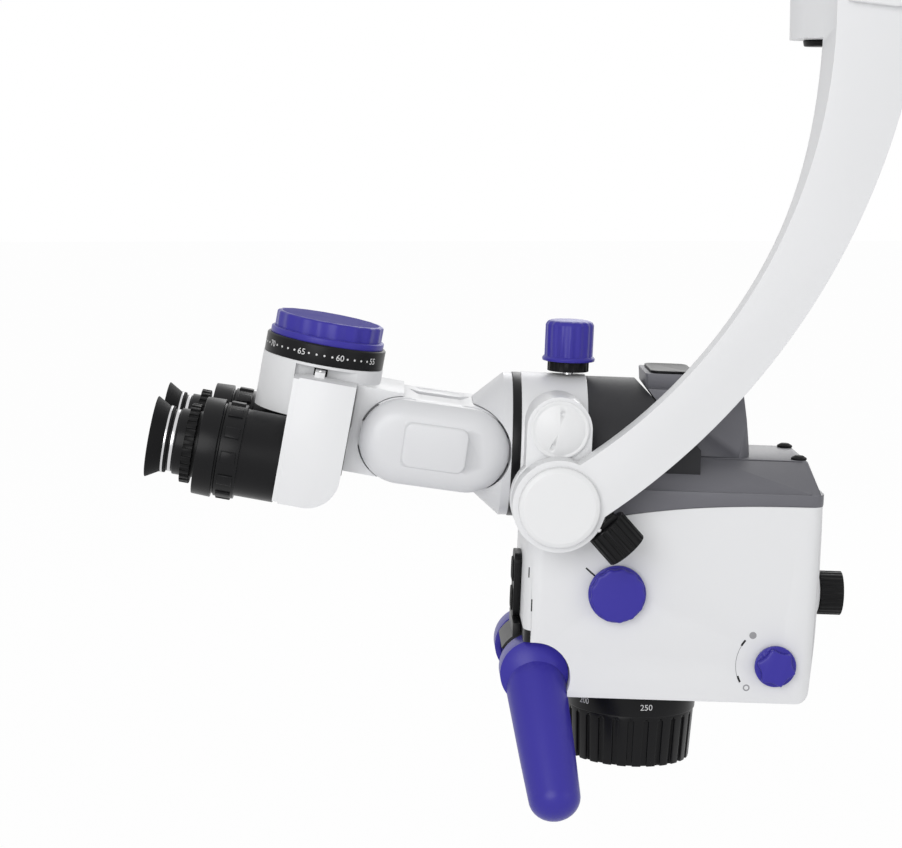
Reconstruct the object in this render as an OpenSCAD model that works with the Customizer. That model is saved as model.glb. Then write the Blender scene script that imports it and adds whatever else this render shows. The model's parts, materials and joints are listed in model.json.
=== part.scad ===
// Dental microscope head on its curved swing arm.
// The origin is the centre of the mounting face on top of the swivel spindle, +Z is up,
// the eyepieces point to -X and the side with the swing arm is -Y.

/* [Suspension mount] */
// Sideways reach from the swivel axis to the tilt pivot
arm_reach = 148; // [144:1:152]
// Drop from the mounting face to the tilt pivot
arm_drop = 300; // [296:1:306]
// Radius of the mounting flange
flange_r = 24; // [22:0.5:27]
// Thickness of the mounting flange
flange_t = 6; // [5:0.5:8]
// Radius of the circle that the mounting holes lie on
bolt_circle_r = 18; // [16.5:0.5:19]
// Radius of a mounting hole
bolt_hole_r = 2.75; // [2:0.25:3.25]
// Number of mounting holes
bolt_count = 4; // [3:1:8]
// Radius of the swivel spindle
spindle_r = 12; // [10:0.5:13]
// Radius of the hub that turns on the spindle
hub_r = 22; // [21:0.5:24]
// Outer radius of the spindle bearings
bearing_r = 17; // [16:0.5:18]
// Height of one spindle bearing
bearing_h = 8; // [6:0.5:10]

/* [Swing arm] */
// Radius of the hollow edge of the arm
arm_inner_r = 269.6; // [268:0.5:271]
// Radius of the outer edge of the arm
arm_outer_r = 357; // [355:0.5:359]
// Distance from the centre plane to the near face of the arm
arm_face_y = 78; // [77:0.5:82]
// Thickness of the arm along most of its length
arm_t = 15; // [13:0.5:15.5]
// Thickness of the arm where it joins the hub
arm_root_t = 36; // [30:1:40]
// Radius of the round end of the arm
arm_disc_r = 23.7; // [22.5:0.1:24]
// Radius of the cap over the tilt pivot
pivot_cap_r = 20.8; // [19:0.1:21.5]
// Height of the cap over the tilt pivot
pivot_cap_t = 5.5; // [4:0.5:8]

/* [Tilt pivot] */
// Radius of the tilt axle
axle_r = 8; // [6:0.5:8.5]
// Wall of the bushing round the tilt axle
bushing_wall = 2; // [1.5:0.5:3]
// Radius of the clamp screw
stud_r = 3; // [2.5:0.25:3.5]
// Radius of the clamp knob
clamp_knob_r = 11.2; // [10:0.1:11.3]
// Length of the clamp knob
clamp_knob_len = 17; // [15:0.5:20]

/* [Microscope body] */
// Angle of the body to the arm at rest, front end up
head_pitch = 2.2; // [0:0.1:4]
// Length of the body
body_len = 154; // [152:1:158]
// Width of the body
body_w = 100; // [98:1:101]
// Wall of the body shell
body_wall = 3; // [2:0.25:3.5]
// Drop from the tilt pivot to the underside of the body
body_drop = 106; // [104:1:109]
// Distance from the tilt pivot to the front face of the body
body_front = 13.5; // [12.5:0.5:14.5]
// Radius of the upright corners of the body
body_corner_r = 9; // [6:1:11]
// Height of the grey cover behind the tower
rear_cover_h = 20.5; // [19.5:0.5:22]
// Height of the lip round the grey cover
cover_lip_h = 5.5; // [4:0.5:7]
// Wall of the grey and dark covers
cover_wall = 2.5; // [2:0.25:3]
// Height of the tower above the tilt pivot
tower_h = 63.4; // [61:0.2:66]

/* [Neck and tube port] */
// Height of the tube axis above the tilt pivot
port_h = 20.5; // [20:0.5:22]
// Radius of the neck
neck_r = 39; // [38.5:0.5:40]
// Radius of the bore through the neck and the tube port
port_bore_r = 22; // [18:0.5:24]
// Radius of the round arch beside the neck
arch_r = 16.8; // [15.5:0.1:17.5]
// Height of the arch centre above the tilt pivot
arch_h = 37; // [35:0.5:38]
// Radius of the cap on the arch
arch_cap_r = 15; // [13:0.5:15.5]
// Width of the black ring at the tube port
port_ring_w = 4.6; // [4:0.2:6]

/* [Magnification changer] */
// Distance from the tilt pivot back to the optical axis of the body
optic_x = 49.5; // [48.5:0.5:50.5]
// Radius of the magnification drum
drum_r = 24; // [22:0.5:25]
// Radius of the light bores
beam_r = 8; // [6:0.5:9]
// Distance from the centre plane to each light path
beam_y = 12; // [10:0.5:13]
// Module of the changer gears
gear_module = 0.8; // [0.7:0.05:0.8]
// Teeth on each changer gear
gear_teeth = 19; // [17:1:19]
// Radius of the magnification knobs
mag_knob_r = 15; // [13:0.5:16]
// Height of a magnification knob
mag_knob_t = 6; // [4:0.5:6.5]

/* [Knobs and keys] */
// Radius of the brightness knob
bright_knob_r = 10.9; // [9:0.1:12]
// Height of the brightness knob
bright_knob_t = 5.5; // [4:0.5:7]
// Radius of the filter knob
filter_knob_r = 12; // [10:0.5:13]
// Length of the filter knob
filter_knob_len = 12.4; // [10:0.2:15]
// Radius of the filter wheel
filter_wheel_r = 27; // [25:0.5:28]
// Radius of the tube lock knob
lock_knob_r = 13; // [12:0.25:14]
// Height of the blue part of the lock knob
lock_knob_h = 22; // [19:0.5:25]
// Travel of a front key
key_travel = 1; // [0.8:0.1:1.4]
// Width of a front key
key_w = 17; // [14:0.5:19]

/* [Objective and focus ring] */
// Radius of the focus ring at its top
focus_top_r = 35.6; // [35:0.1:37]
// Radius of the focus ring at its foot
focus_foot_r = 34; // [33.5:0.1:35]
// Depth of the focus ring below the body
focus_drop = 41.5; // [40:0.5:45]
// Radius of the fixed objective tube
objective_r = 30; // [29:0.5:31]
// Number of grip ribs round the focus ring
focus_ribs = 26; // [18:1:36]
// Travel of the focus lens
focus_travel = 8; // [6:0.5:9]

/* [Handles] */
// Distance from the centre plane to the open rim of a grip
grip_rim_y = 25; // [23:0.5:27]
// Radius of the rim of a grip
grip_rim_r = 18; // [17:0.25:18.5]
// Length of a grip from its pivot to its end
grip_len = 84; // [75:1:95]
// Radius of a grip near its root
grip_root_r = 15; // [13:0.25:15.25]
// Radius of a grip near its end
grip_end_r = 13; // [11:0.25:14]
// Angle by which a grip spreads sideways
grip_spread = 38; // [32:1:42]

/* [Inclinable tube] */
// Radius of the tube flange
tube_flange_r = 38.4; // [37.5:0.1:38.4]
// Distance between the two tube hinges
link_len = 34.5; // [34:0.5:38]
// Radius of the round ends of the link
link_r = 23; // [22:0.5:23.5]
// Width of the link between its cheeks
link_w = 56.8; // [54:0.5:58]
// Radius of the round ends of a cheek
cheek_r = 22.4; // [21:0.2:22.6]
// Thickness of a cheek
cheek_t = 12.5; // [10:0.5:13.5]
// Radius of the hinge pins
hinge_pin_r = 5; // [4:0.5:6]
// Angle of the link above the tube axis at rest
link_pitch = 6; // [0:0.5:8]
// Angle of the eyepiece housing to the link at rest
eye_pitch = 2.4; // [0:0.2:4]

/* [Eyepiece housing] */
// Radius of the round eyepiece housing
housing_r = 32.3; // [31.5:0.1:33]
// Radius of the scale ring on the housing
scale_ring_r = 32; // [30:0.5:32.5]
// Height of the scale ring
scale_ring_h = 10.4; // [8:0.2:12]
// Radius of the blue width dial
dial_r = 29.7; // [27:0.1:31]
// Height of the blue width dial
dial_h = 12; // [10:0.5:14]
// Distance between the eyepieces at rest
eye_distance = 62; // [60:1:64]
// Smallest distance between the eyepieces
eye_distance_min = 55; // [54.5:0.5:57]
// Largest distance between the eyepieces
eye_distance_max = 75; // [70:1:75]
// Turn of the width dial from the smallest to the largest distance
dial_turn = 150; // [120:5:170]
// Radius of the guide rods
rod_r = 2.5; // [2:0.25:3]

/* [Eyepieces] */
// Radius of the eyepiece barrel
barrel_r = 23; // [21:0.25:23.5]
// Length of the eyepiece barrel
barrel_len = 20.7; // [18:0.5:24]
// Radius of the clamp ring on the eyepiece
clamp_ring_r = 25.8; // [24:0.1:26.5]
// Radius of the eyepiece body
eyepiece_r = 26; // [24:0.1:26.5]
// Radius of the dioptre ring
dioptre_r = 21; // [20:0.25:23]
// Teeth round the dioptre ring
dioptre_teeth = 30; // [20:1:40]
// Radius of the open end of an eyecup
eyecup_r = 21.6; // [20:0.2:23]
// Length of an eyecup
eyecup_len = 8.5; // [7.5:0.25:10]
// Travel of an eyecup
eyecup_travel = 3; // [2:0.25:3.2]

/* [Hidden] */

// Fineness of large and small round forms
$fn = 96;
fine = 180;
hull_fn = 32;
// Length by which a cut runs past the face that it opens
over = 1;
// Gap between faces that pass each other, and running fit of a shaft, measured on the radius
pass_gap = 0.5;
fit_gap = 0.04;
// Gap left between resting pieces of different bodies
seat_gap = 0.1;

white = [0.90, 0.905, 0.91];
light_grey = [0.78, 0.785, 0.80];
mid_grey = [0.43, 0.43, 0.46];
dark_grey = [0.20, 0.20, 0.21];
black = [0.07, 0.07, 0.075];
blue = [0.22, 0.19, 0.60];
steel = [0.66, 0.67, 0.69];
bronze = [0.65, 0.50, 0.28];
glass = [0.60, 0.75, 0.85];
green = [0.10, 0.35, 0.20];

// Places of the main axes
pivot = [-arm_reach, 0, -arm_drop];
hub_base_z = -63.8;
hub_top_z = -flange_t - pass_gap;
arm_inner_centre = [-133.5, 249.2];
arm_outer_centre = [-175.7, 291];
arm_back_y = arm_face_y - arm_t;
arm_root_y = arm_face_y - arm_root_t;
arm_swell_start = 125;
arm_swell_end = 236;
lug_face_y = arm_back_y - pass_gap * 2;
body_back = body_len - body_front;
half_w = body_w / 2;

// Shapes used by more than one piece

// A round bar along Y from y0 to y1
module y_bar(r, y0, y1) {
    translate([0, y0, 0]) rotate([-90, 0, 0]) cylinder(r = r, h = y1 - y0);
}

// A round bar along X from x0 to x1
module x_bar(r, x0, x1) {
    translate([x0, 0, 0]) rotate([0, 90, 0]) cylinder(r = r, h = x1 - x0);
}

// A round bar along Z from z0 to z1
module z_bar(r, z0, z1) {
    translate([0, 0, z0]) cylinder(r = r, h = z1 - z0);
}

// A side outline in X and Z, given its width from y0 to y1
module side_slab(y0, y1) {
    translate([0, y1, 0]) rotate([90, 0, 0]) linear_extrude(y1 - y0) children();
}

// A front outline in Y and Z, given its length from x0 to x1
module front_slab(x0, x1) {
    translate([x0, 0, 0]) rotate([90, 0, 90]) linear_extrude(x1 - x0) children();
}

// A box between two opposite corners
module corner_box(low, high) {
    translate(low) cube(high - low);
}

// A rectangle between two corners, with round corners
module round_rect(low, high, r) {
    translate([low[0] + r, low[1]]) square([high[0] - low[0] - 2 * r, high[1] - low[1]]);
    translate([low[0], low[1] + r]) square([high[0] - low[0], high[1] - low[1] - 2 * r]);
    for (x = [low[0] + r, high[0] - r])
        for (y = [low[1] + r, high[1] - r])
            translate([x, y]) circle(r = r);
}

// Points of an arc about a centre
function arc_points(centre, r, from, to, steps) =
    [for (k = [0 : steps]) let (a = from + (to - from) * k / steps)
        centre + r * [cos(a), sin(a)]];

// Outline of a knob with round hollows in its edge
module scalloped(r, count, hollow_r, depth) {
    difference() {
        circle(r = r);
        for (k = [0 : count - 1])
            rotate(k * 360 / count) translate([r + hollow_r - depth, 0]) circle(r = hollow_r);
    }
}

// Outline of a wheel with square teeth
module toothed(r, count, tooth_share, depth) {
    circle(r = r - depth);
    for (k = [0 : count - 1])
        rotate(k * 360 / count)
            translate([0, -r * sin(tooth_share * 180 / count)])
                square([r * cos(tooth_share * 180 / count), 2 * r * sin(tooth_share * 180 / count)]);
}

module in_pivot() {
    translate(pivot) children();
}

module in_head() {
    in_pivot() rotate([0, head_pitch, 0]) children();
}

// Draws the near piece, or its mirror image on the far side
module on_side(far) {
    mirror([0, far ? 1 : 0, 0]) children();
}

// Swivel and suspension

nut_h = 4.5;
nut_r = 15;
hub_floor_t = 5.8;
nut_z = hub_base_z + hub_floor_t + pass_gap;
low_bearing_z = nut_z + nut_h + seat_gap;
high_bearing_z = hub_top_z - bearing_h;
cap_t = 3.4;
spindle_cap_r = 15;
cap_screw_y = 8.5;
cap_screw_r = 2.4;
cap_screw_head = 1.2;
countersink_r = 5;

module suspension_spindle() {
    color(steel) difference() {
        union() {
            z_bar(flange_r, -flange_t, 0);
            z_bar(spindle_r, nut_z + seat_gap, -flange_t);
            z_bar(nut_r, nut_z, nut_z + nut_h);
        }
        for (k = [0 : bolt_count - 1])
            rotate(45 + k * 360 / bolt_count) translate([bolt_circle_r, 0, 0])
                z_bar(bolt_hole_r, -flange_t - over, over);
    }
}

module spindle_bearings() {
    color(steel) for (z = [low_bearing_z, high_bearing_z])
        translate([0, 0, z]) difference() {
            cylinder(r = bearing_r, h = bearing_h);
            translate([0, 0, -over]) cylinder(r = spindle_r + fit_gap, h = bearing_h + 2 * over);
        }
}

// Side outline of the arm about the tilt pivot
module arm_outline() {
    beyond = 1.3;
    right = 3 * arm_reach;
    foot = beyond * arm_inner_centre;
    intersection() {
        difference() {
            translate(arm_outer_centre) circle(r = arm_outer_r, $fn = fine);
            translate(arm_inner_centre) circle(r = arm_inner_r, $fn = fine);
        }
        polygon([arm_inner_centre, [0, 0], arm_inner_centre * (1 - beyond),
            [right, arm_inner_centre[1] * (1 - beyond)],
            [right, arm_drop + hub_top_z], [arm_inner_centre[0], arm_drop + hub_top_z]]);
    }
    circle(r = arm_disc_r);
}

// Line of the clamp screw, measured from the tilt pivot
clamp_base = [24.4, -11.4];
clamp_angle = 48.7;
clamp_y = -(arm_face_y - arm_t / 2);
stud_depth = norm(clamp_base) - axle_r - bushing_wall - seat_gap;

module on_clamp_line() {
    in_pivot() translate([clamp_base[0], clamp_y, clamp_base[1]])
        rotate([0, 90 + clamp_angle, 0]) children();
}

module swing_arm() {
    color(white) difference() {
        union() {
            in_pivot() intersection() {
                side_slab(-arm_face_y, -arm_root_y) arm_outline();
                front_slab(-arm_reach, 2 * arm_reach) polygon([
                    [-arm_face_y, -arm_drop], [-arm_back_y, -arm_drop],
                    [-arm_back_y, arm_swell_start], [-arm_root_y, arm_swell_end],
                    [-arm_root_y, arm_drop], [-arm_face_y, arm_drop]]);
            }
            z_bar(hub_r, hub_base_z, hub_top_z);
            corner_box([-hub_r, -arm_root_y - over, hub_base_z], [hub_r, 0, hub_top_z]);
        }
        z_bar(bearing_r, hub_base_z + hub_floor_t, hub_top_z + over);
        z_bar(spindle_cap_r / 2, hub_base_z - over, hub_base_z + hub_floor_t + over);
        in_pivot() y_bar(axle_r + bushing_wall, -arm_face_y - over, -arm_back_y + over);
        on_clamp_line() z_bar(stud_r + fit_gap, -stud_depth - over, clamp_knob_len);
    }
}

top_cover_t = 6;
top_cover_left = 7;
top_cover_right = 34;
top_cover_foot = 250;
top_cover_skew = 3;

module arm_top_cover() {
    color(white) in_pivot() difference() {
        side_slab(-arm_face_y - top_cover_t, -arm_face_y) polygon([
            [arm_reach - top_cover_left, top_cover_foot + top_cover_skew],
            [arm_reach + top_cover_right / 2, top_cover_foot],
            [arm_reach + top_cover_right, top_cover_foot + top_cover_skew],
            [arm_reach + top_cover_right, arm_drop + hub_top_z],
            [arm_reach - top_cover_left, arm_drop + hub_top_z]]);
        for (z = [top_cover_foot + 2 * top_cover_skew, arm_drop + hub_top_z - 2 * top_cover_skew])
            translate([arm_reach + top_cover_right / 2, 0, z])
                y_bar(cap_screw_r, -arm_face_y - top_cover_t - over, -arm_face_y - top_cover_t / 2);
    }
}

module spindle_cap() {
    color(black) difference() {
        z_bar(spindle_cap_r, hub_base_z - cap_t, hub_base_z);
        for (a = [0, 180]) rotate(a) translate([cap_screw_y, 0, 0])
            z_bar(cap_screw_r, hub_base_z - cap_t - over, hub_base_z + over);
    }
    color(steel) for (a = [0, 180]) rotate(a) translate([cap_screw_y, 0, 0])
        z_bar(cap_screw_r, hub_base_z - cap_t - cap_screw_head, hub_base_z);
}

// Tilt pivot

module pivot_cap() {
    edge = 1.2;
    color(white) in_pivot() translate([0, -arm_face_y, 0]) rotate([90, 0, 0]) {
        cylinder(r = pivot_cap_r, h = pivot_cap_t - edge);
        translate([0, 0, pivot_cap_t - edge])
            cylinder(r1 = pivot_cap_r, r2 = pivot_cap_r - edge, h = edge);
    }
}

bushing_flange_r = 18;
axle_sink = 5;

module tilt_bushing() {
    color(bronze) in_pivot() difference() {
        union() {
            y_bar(axle_r + bushing_wall, -arm_face_y, -arm_back_y);
            y_bar(bushing_flange_r, -arm_back_y, -lug_face_y - seat_gap);
        }
        y_bar(axle_r + fit_gap, -arm_face_y - over, -lug_face_y + over);
    }
}

axle_inner_y = neck_r - axle_sink;

module tilt_axle() {
    color(steel) in_head() y_bar(axle_r, -arm_face_y + seat_gap, -axle_inner_y);
}

module clamp_knob() {
    ribs = 18;
    rib_width = 0.6;
    rib_height = 0.8;
    crown = 1.5;
    color(steel) on_clamp_line() z_bar(stud_r, -stud_depth, 0);
    color(black) on_clamp_line() {
        linear_extrude(clamp_knob_len - crown) toothed(clamp_knob_r, ribs, rib_width, rib_height);
        translate([0, 0, clamp_knob_len - crown])
            cylinder(r1 = clamp_knob_r - crown / 2, r2 = clamp_knob_r - 2 * crown, h = crown);
    }
}

// Microscope body, measured from the tilt pivot and turned by head_pitch

top_edge_drop = 0.8;
top_fall = 20.7;
top_power = 2.6;
top_steps = 14;
back_bulge = 1;
back_lean = 2.2;
bulge_share = 0.3;
flat_share = 0.66;
foot_corner_r = 7;
foot_steps = 6;
grip_axis = [-6.5, -96];
bay_gap = 0.5;
grip_bay_r = grip_rim_r + bay_gap;
bay_margin = 2.2;
bay_half = grip_root_r + bay_margin;
notch_x = -3.2;
notch_h = 24.5;

// Height of the body's top edge at a distance x behind the tilt pivot
function top_z(x) = -top_edge_drop - top_fall * pow(max(0, (body_back - x) / body_len), top_power);

function body_points(inset) = concat(
    [for (k = [0 : top_steps])
        let (x = -body_front + inset + (body_len - 2 * inset) * k / top_steps)
            [x, top_z(x) - inset]],
    [[body_back + back_bulge - inset, -body_drop * bulge_share],
        [body_back - inset, -body_drop * flat_share]],
    arc_points([body_back - back_lean - foot_corner_r, foot_corner_r - body_drop],
        foot_corner_r - inset, 0, -90, foot_steps),
    [[-body_front + inset, inset - body_drop]]);

module body_block(inset) {
    intersection() {
        side_slab(-half_w + inset, half_w - inset) polygon(body_points(inset));
        translate([0, 0, -body_drop - over]) linear_extrude(body_drop + over)
            round_rect([-body_front + inset, -half_w + inset],
                [body_back + back_bulge - inset, half_w - inset], body_corner_r - inset);
    }
}

// Bay for the grips at the lower front corner, with a gap all round, about the grips' axis
module bay_outline(gap) {
    far = 2 * grip_bay_r;
    circle(r = grip_bay_r + gap);
    translate([-far, -far]) square([far + bay_half + gap, far]);
    translate([-far, 0]) square([far + notch_x + gap, notch_h + gap]);
}

// Everything below the top edge of the body
module below_top_edge() {
    side_slab(-half_w - over, half_w + over) polygon(concat(
        [for (k = [0 : top_steps])
            let (x = -body_front - 3 * over + (body_len + 6 * over) * k / top_steps) [x, top_z(x)]],
        [[body_back + 3 * over, -body_drop], [-body_front - 3 * over, -body_drop]]));
}

base_t = 3;
changer_h = -49.5;
mag_axis = [optic_x - gear_module * gear_teeth, changer_h];
bright_back = 21.2;
bright_place = [body_back - bright_back, -85.4];
filter_z = -55.6;
shaft_hole_gap = 0.4;
mag_shaft_r = 4;
bright_shaft_r = 3;
filter_shaft_r = 4;
filter_neck = 8.6;
filter_collar = 3;
filter_boss_r = 11.2;
hatch_front = 20;
hatch_rim = 5;
plate_front = grip_axis[0] + grip_bay_r + body_wall;

module body_shell() {
    color(white) in_head() difference() {
        union() {
            body_block(0);
            translate([0, 0, filter_z])
                x_bar(filter_boss_r, body_back - body_wall, body_back + filter_neck - pass_gap);
        }
        translate([0, 0, filter_z]) x_bar(filter_shaft_r + filter_collar + pass_gap,
            body_back + back_bulge, body_back + filter_neck + over);
        difference() {
            body_block(body_wall);
            translate([grip_axis[0], 0, grip_axis[1]])
                side_slab(-body_w, body_w) bay_outline(body_wall);
            port_neck(neck_r + body_wall, -body_w, body_w);
        }
        corner_box([plate_front, -half_w + body_wall, -body_drop - over],
            [body_back - body_wall - back_lean * 2, half_w - body_wall, -body_drop + body_wall + over]);
        translate([grip_axis[0], 0, grip_axis[1]]) side_slab(-body_w, body_w) bay_outline(0);
        corner_box([hatch_front, -half_w + hatch_rim, -body_drop / 3],
            [body_back - hatch_rim, half_w - hatch_rim, over]);
        port_neck(neck_r, -body_w, body_w);
        translate([mag_axis[0], 0, mag_axis[1]])
            y_bar(mag_shaft_r + shaft_hole_gap, -body_w, body_w);
        translate([bright_place[0], 0, bright_place[1]])
            y_bar(bright_shaft_r + shaft_hole_gap, -body_w, 0);
        translate([0, 0, filter_z])
            x_bar(filter_shaft_r + shaft_hole_gap, body_len / 2, body_len);
    }
}

// The neck's round form, for the neck itself and for what it sits in
module port_neck(r, x0, x1) {
    translate([0, 0, port_h]) x_bar(r, x0, x1);
}

module base_plate() {
    color(black) in_head() difference() {
        corner_box([plate_front, -half_w + body_wall, -body_drop],
            [body_back - body_wall - back_lean * 2, half_w - body_wall, -body_drop + base_t]);
        translate([optic_x, 0, 0]) z_bar(objective_r, -body_drop - over, -body_drop + base_t + over);
    }
}

frame_y = half_w * 0.68;
frame_t = 4;
frame_front = 20;
frame_top = -15;
drum_axle_r = 4;
gear_room = 2;
gear_y = frame_y + gear_room;
gear_t = 3.5;
gear_pitch_r = gear_module * gear_teeth / 2;

// Place of what stands behind the drum, as a share of the room between the drum and the back
function behind_drum(share) = optic_x + drum_r + share * (body_back - optic_x - drum_r);
bridge_back = behind_drum(0.276);
frame_back = behind_drum(0.784);

// Frame that carries the optics: a base, two side plates and a bridge under the splitter
module chassis() {
    base_z = -body_drop + base_t;
    color(steel) in_head() difference() {
        union() {
            corner_box([frame_front, -frame_y, base_z], [frame_back, frame_y, base_z + frame_t]);
            for (s = [-1, 1]) {
                y0 = s < 0 ? -frame_y : frame_y - frame_t;
                corner_box([frame_front, y0, base_z], [bridge_back, y0 + frame_t, frame_top]);
            }
            corner_box([frame_front, -frame_y, frame_top - frame_t],
                [bridge_back, frame_y, frame_top]);
            corner_box([frame_back - frame_t, -frame_y, base_z],
                [frame_back, frame_y, filter_z + frame_t * 2]);
        }
        translate([optic_x, 0, 0]) z_bar(objective_r - frame_t, -body_drop, -body_drop / 2);
        for (s = [-1, 1]) translate([optic_x, s * beam_y, 0]) z_bar(beam_r, -body_drop / 2, 0);
        translate([optic_x, 0, mag_axis[1]]) y_bar(drum_axle_r + fit_gap, -body_w, body_w);
        translate([mag_axis[0], 0, mag_axis[1]]) y_bar(mag_shaft_r + fit_gap, -body_w, body_w);
        translate([0, 0, filter_z]) x_bar(filter_shaft_r + fit_gap, bridge_back, body_len);
    }
}

cover_front = 18;
camera_bay = 15;
cover_ledge = 1.5;
cover_top_inset = 22.5;
cover_back_inset = 7;
front_cover_r = 38;
front_cover_start = arch_r;

// Grey cover before its inside is cleared
module rear_cover_block(inset) {
    top = rear_cover_h - inset;
    back = body_back + back_bulge - inset;
    side = half_w - inset;
    difference() {
        intersection() {
            side_slab(-half_w, half_w) polygon([
                [cover_front + inset, -top_fall], [cover_front + inset, top],
                [back - cover_back_inset, top], [back - cover_ledge - back_bulge, cover_lip_h],
                [back, cover_lip_h], [back, -top_fall]]);
            front_slab(0, body_len) polygon([
                [-side, -top_fall], [-side, cover_lip_h], [cover_ledge - side, cover_lip_h],
                [cover_top_inset - side, top], [side - cover_top_inset, top],
                [side - cover_ledge, cover_lip_h], [side, cover_lip_h], [side, -top_fall]]);
            translate([0, 0, -body_len / 2]) linear_extrude(body_len)
                round_rect([-body_front, -side], [back, side], body_corner_r - inset);
        }
        below_top_edge();
    }
}

module rear_cover() {
    color(mid_grey) in_head() difference() {
        rear_cover_block(0);
        translate([0, 0, -over / 2]) rear_cover_block(cover_wall);
        front_cover_block(0);
        corner_box([seam_foot[0] - cover_wall, -camera_bay, port_h - 2 * cover_wall],
            [tower_back_foot - 2 * cover_wall, camera_bay, rear_cover_h + over]);
    }
}

// Place on the covers behind the optical axis, as a share of the room to the back of the body
function behind_optic(share) = optic_x + share * (body_back - optic_x);
seam_lead = 0.3;
shoulder_lead = 6.1;
seam_top = [optic_x - seam_lead, 54.4];
seam_foot = [behind_optic(0.2945), rear_cover_h];
cover_shoulder = [optic_x - shoulder_lead, 58.5];

// Dark cover over the beam splitter, before its inside is cleared
module front_cover_block(inset) {
    intersection() {
        side_slab(-half_w, half_w) polygon([
            [front_cover_start + inset, -top_fall - inset],
            [front_cover_start + inset, port_h + front_cover_r - inset],
            [cover_shoulder[0] - inset, port_h + front_cover_r - inset],
            [seam_top[0] - inset, seam_top[1] - inset],
            [seam_foot[0] - inset, seam_foot[1] - inset],
            [seam_foot[0] - inset, -top_fall - inset]]);
        union() {
            port_neck(front_cover_r - inset, 0, body_len);
            corner_box([0, -front_cover_r + inset, -top_fall - inset],
                [body_len, front_cover_r - inset, port_h]);
        }
    }
}

module front_cover() {
    color(dark_grey) in_head() difference() {
        front_cover_block(0);
        front_cover_block(cover_wall);
        corner_box([seam_foot[0] - 2 * cover_wall, -camera_bay, -top_fall - over],
            [seam_foot[0] + over, camera_bay, camera_h + over]);
        below_top_edge();
        port_neck(port_bore_r, 0, frame_front + cover_wall);
    }
}

tower_foot_y = 27;
tower_top_y = 21;
tower_corner_r = 11;
tower_back_top = behind_optic(0.5505);
tower_back_foot = behind_optic(0.6066);
tower_step = behind_optic(0.2626);
tower_back_h = 53.2;
tower_lead = 2.3;
tower_front = optic_x - tower_lead;

module tower_block(inset) {
    intersection() {
        side_slab(-half_w, half_w) polygon([
            [seam_top[0] + inset, seam_top[1] + inset / 2],
            [tower_front + over + inset, seam_top[1] + over + inset / 2],
            [tower_front + inset, tower_h - inset],
            [tower_step, tower_h - inset],
            [tower_back_top - inset, tower_back_h - inset],
            [tower_back_foot - inset, rear_cover_h],
            [seam_foot[0] + inset, rear_cover_h]]);
        front_slab(0, body_len) polygon([
            [-tower_foot_y + inset, rear_cover_h], [-tower_top_y + inset, tower_h],
            [tower_top_y - inset, tower_h], [tower_foot_y - inset, rear_cover_h]]);
        linear_extrude(body_len) round_rect([tower_front + inset, -tower_foot_y + inset],
            [tower_back_foot - inset, tower_foot_y - inset], tower_corner_r - inset);
    }
}

module camera_tower() {
    color(mid_grey) in_head() difference() {
        tower_block(0);
        tower_block(cover_wall);
    }
}

tower_cap_t = 1.6;

lid_edge = 2.8;
module tower_cap() {
    color(black) in_head() translate([0, 0, tower_h]) linear_extrude(tower_cap_t)
        round_rect([tower_front + lid_edge, -tower_top_y + over],
            [tower_step, tower_top_y - over], tower_corner_r / 2);
}

lug_sink = 9;
lug_inner_y = neck_r - lug_sink;
lug_foot = -11;
arch_step = 1.6;
neck_front = 18.3;
neck_back = arch_r;
lock_x = 7.3;
lock_shaft_r = 3;
lug_disc_r = 24;

// Outline of the arch and the round lug under it
module arch_outline(foot) {
    translate([0, arch_h]) circle(r = arch_r);
    translate([-arch_r, foot]) square([2 * arch_r, arch_h - foot]);
}

module neck_block() {
    color(light_grey) in_head() difference() {
        union() {
            port_neck(neck_r, -neck_front, neck_back);
            side_slab(-half_w - pass_gap, -lug_inner_y) arch_outline(lug_foot);
            side_slab(-lug_face_y + arch_step, -half_w - pass_gap) union() {
                arch_outline(0);
                circle(r = lug_disc_r);
            }
            y_bar(arch_h - arch_cap_r - pass_gap, -lug_face_y, -half_w - pass_gap);
        }
        port_neck(port_bore_r, -neck_front - over, neck_back + over);
        y_bar(axle_r, -body_w, -axle_inner_y);
        translate([lock_x, 0, 0]) z_bar(lock_shaft_r + fit_gap, port_h, port_h + neck_r + over);
    }
}

arch_cap_t = 1.9;

module arch_cap() {
    hole_r = 1.1;
    hole_place = 9;
    hole_turn = 75;
    color(white) in_head() translate([0, -lug_face_y + arch_step, arch_h]) rotate([90, 0, 0]) difference() {
        cylinder(r = arch_cap_r, h = arch_cap_t);
        for (a = [hole_turn, hole_turn + 180]) rotate(a) translate([hole_place, 0, arch_cap_t / 2])
            cylinder(r = hole_r, h = arch_cap_t);
    }
}

spigot_wall = 8;
spigot_r = port_bore_r + spigot_wall;

module port_ring() {
    color(black) in_head() difference() {
        port_neck(neck_r - seat_gap, -neck_front - port_ring_w, -neck_front);
        port_neck(spigot_r + fit_gap, -body_len, 0);
    }
}

plug_x = behind_optic(0.89);
plug_y = 23;
plug_r = 4.2;
plug_h = 2.2;

module cover_plugs() {
    color(black) in_head() for (s = [-1, 1]) translate([plug_x, s * plug_y, rear_cover_h]) {
        cylinder(r = plug_r, h = plug_h / 2);
        translate([0, 0, plug_h / 2]) cylinder(r1 = plug_r, r2 = plug_r / 2, h = plug_h / 2);
    }
}

splitter_w = 12;
splitter_y = 22;

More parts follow.
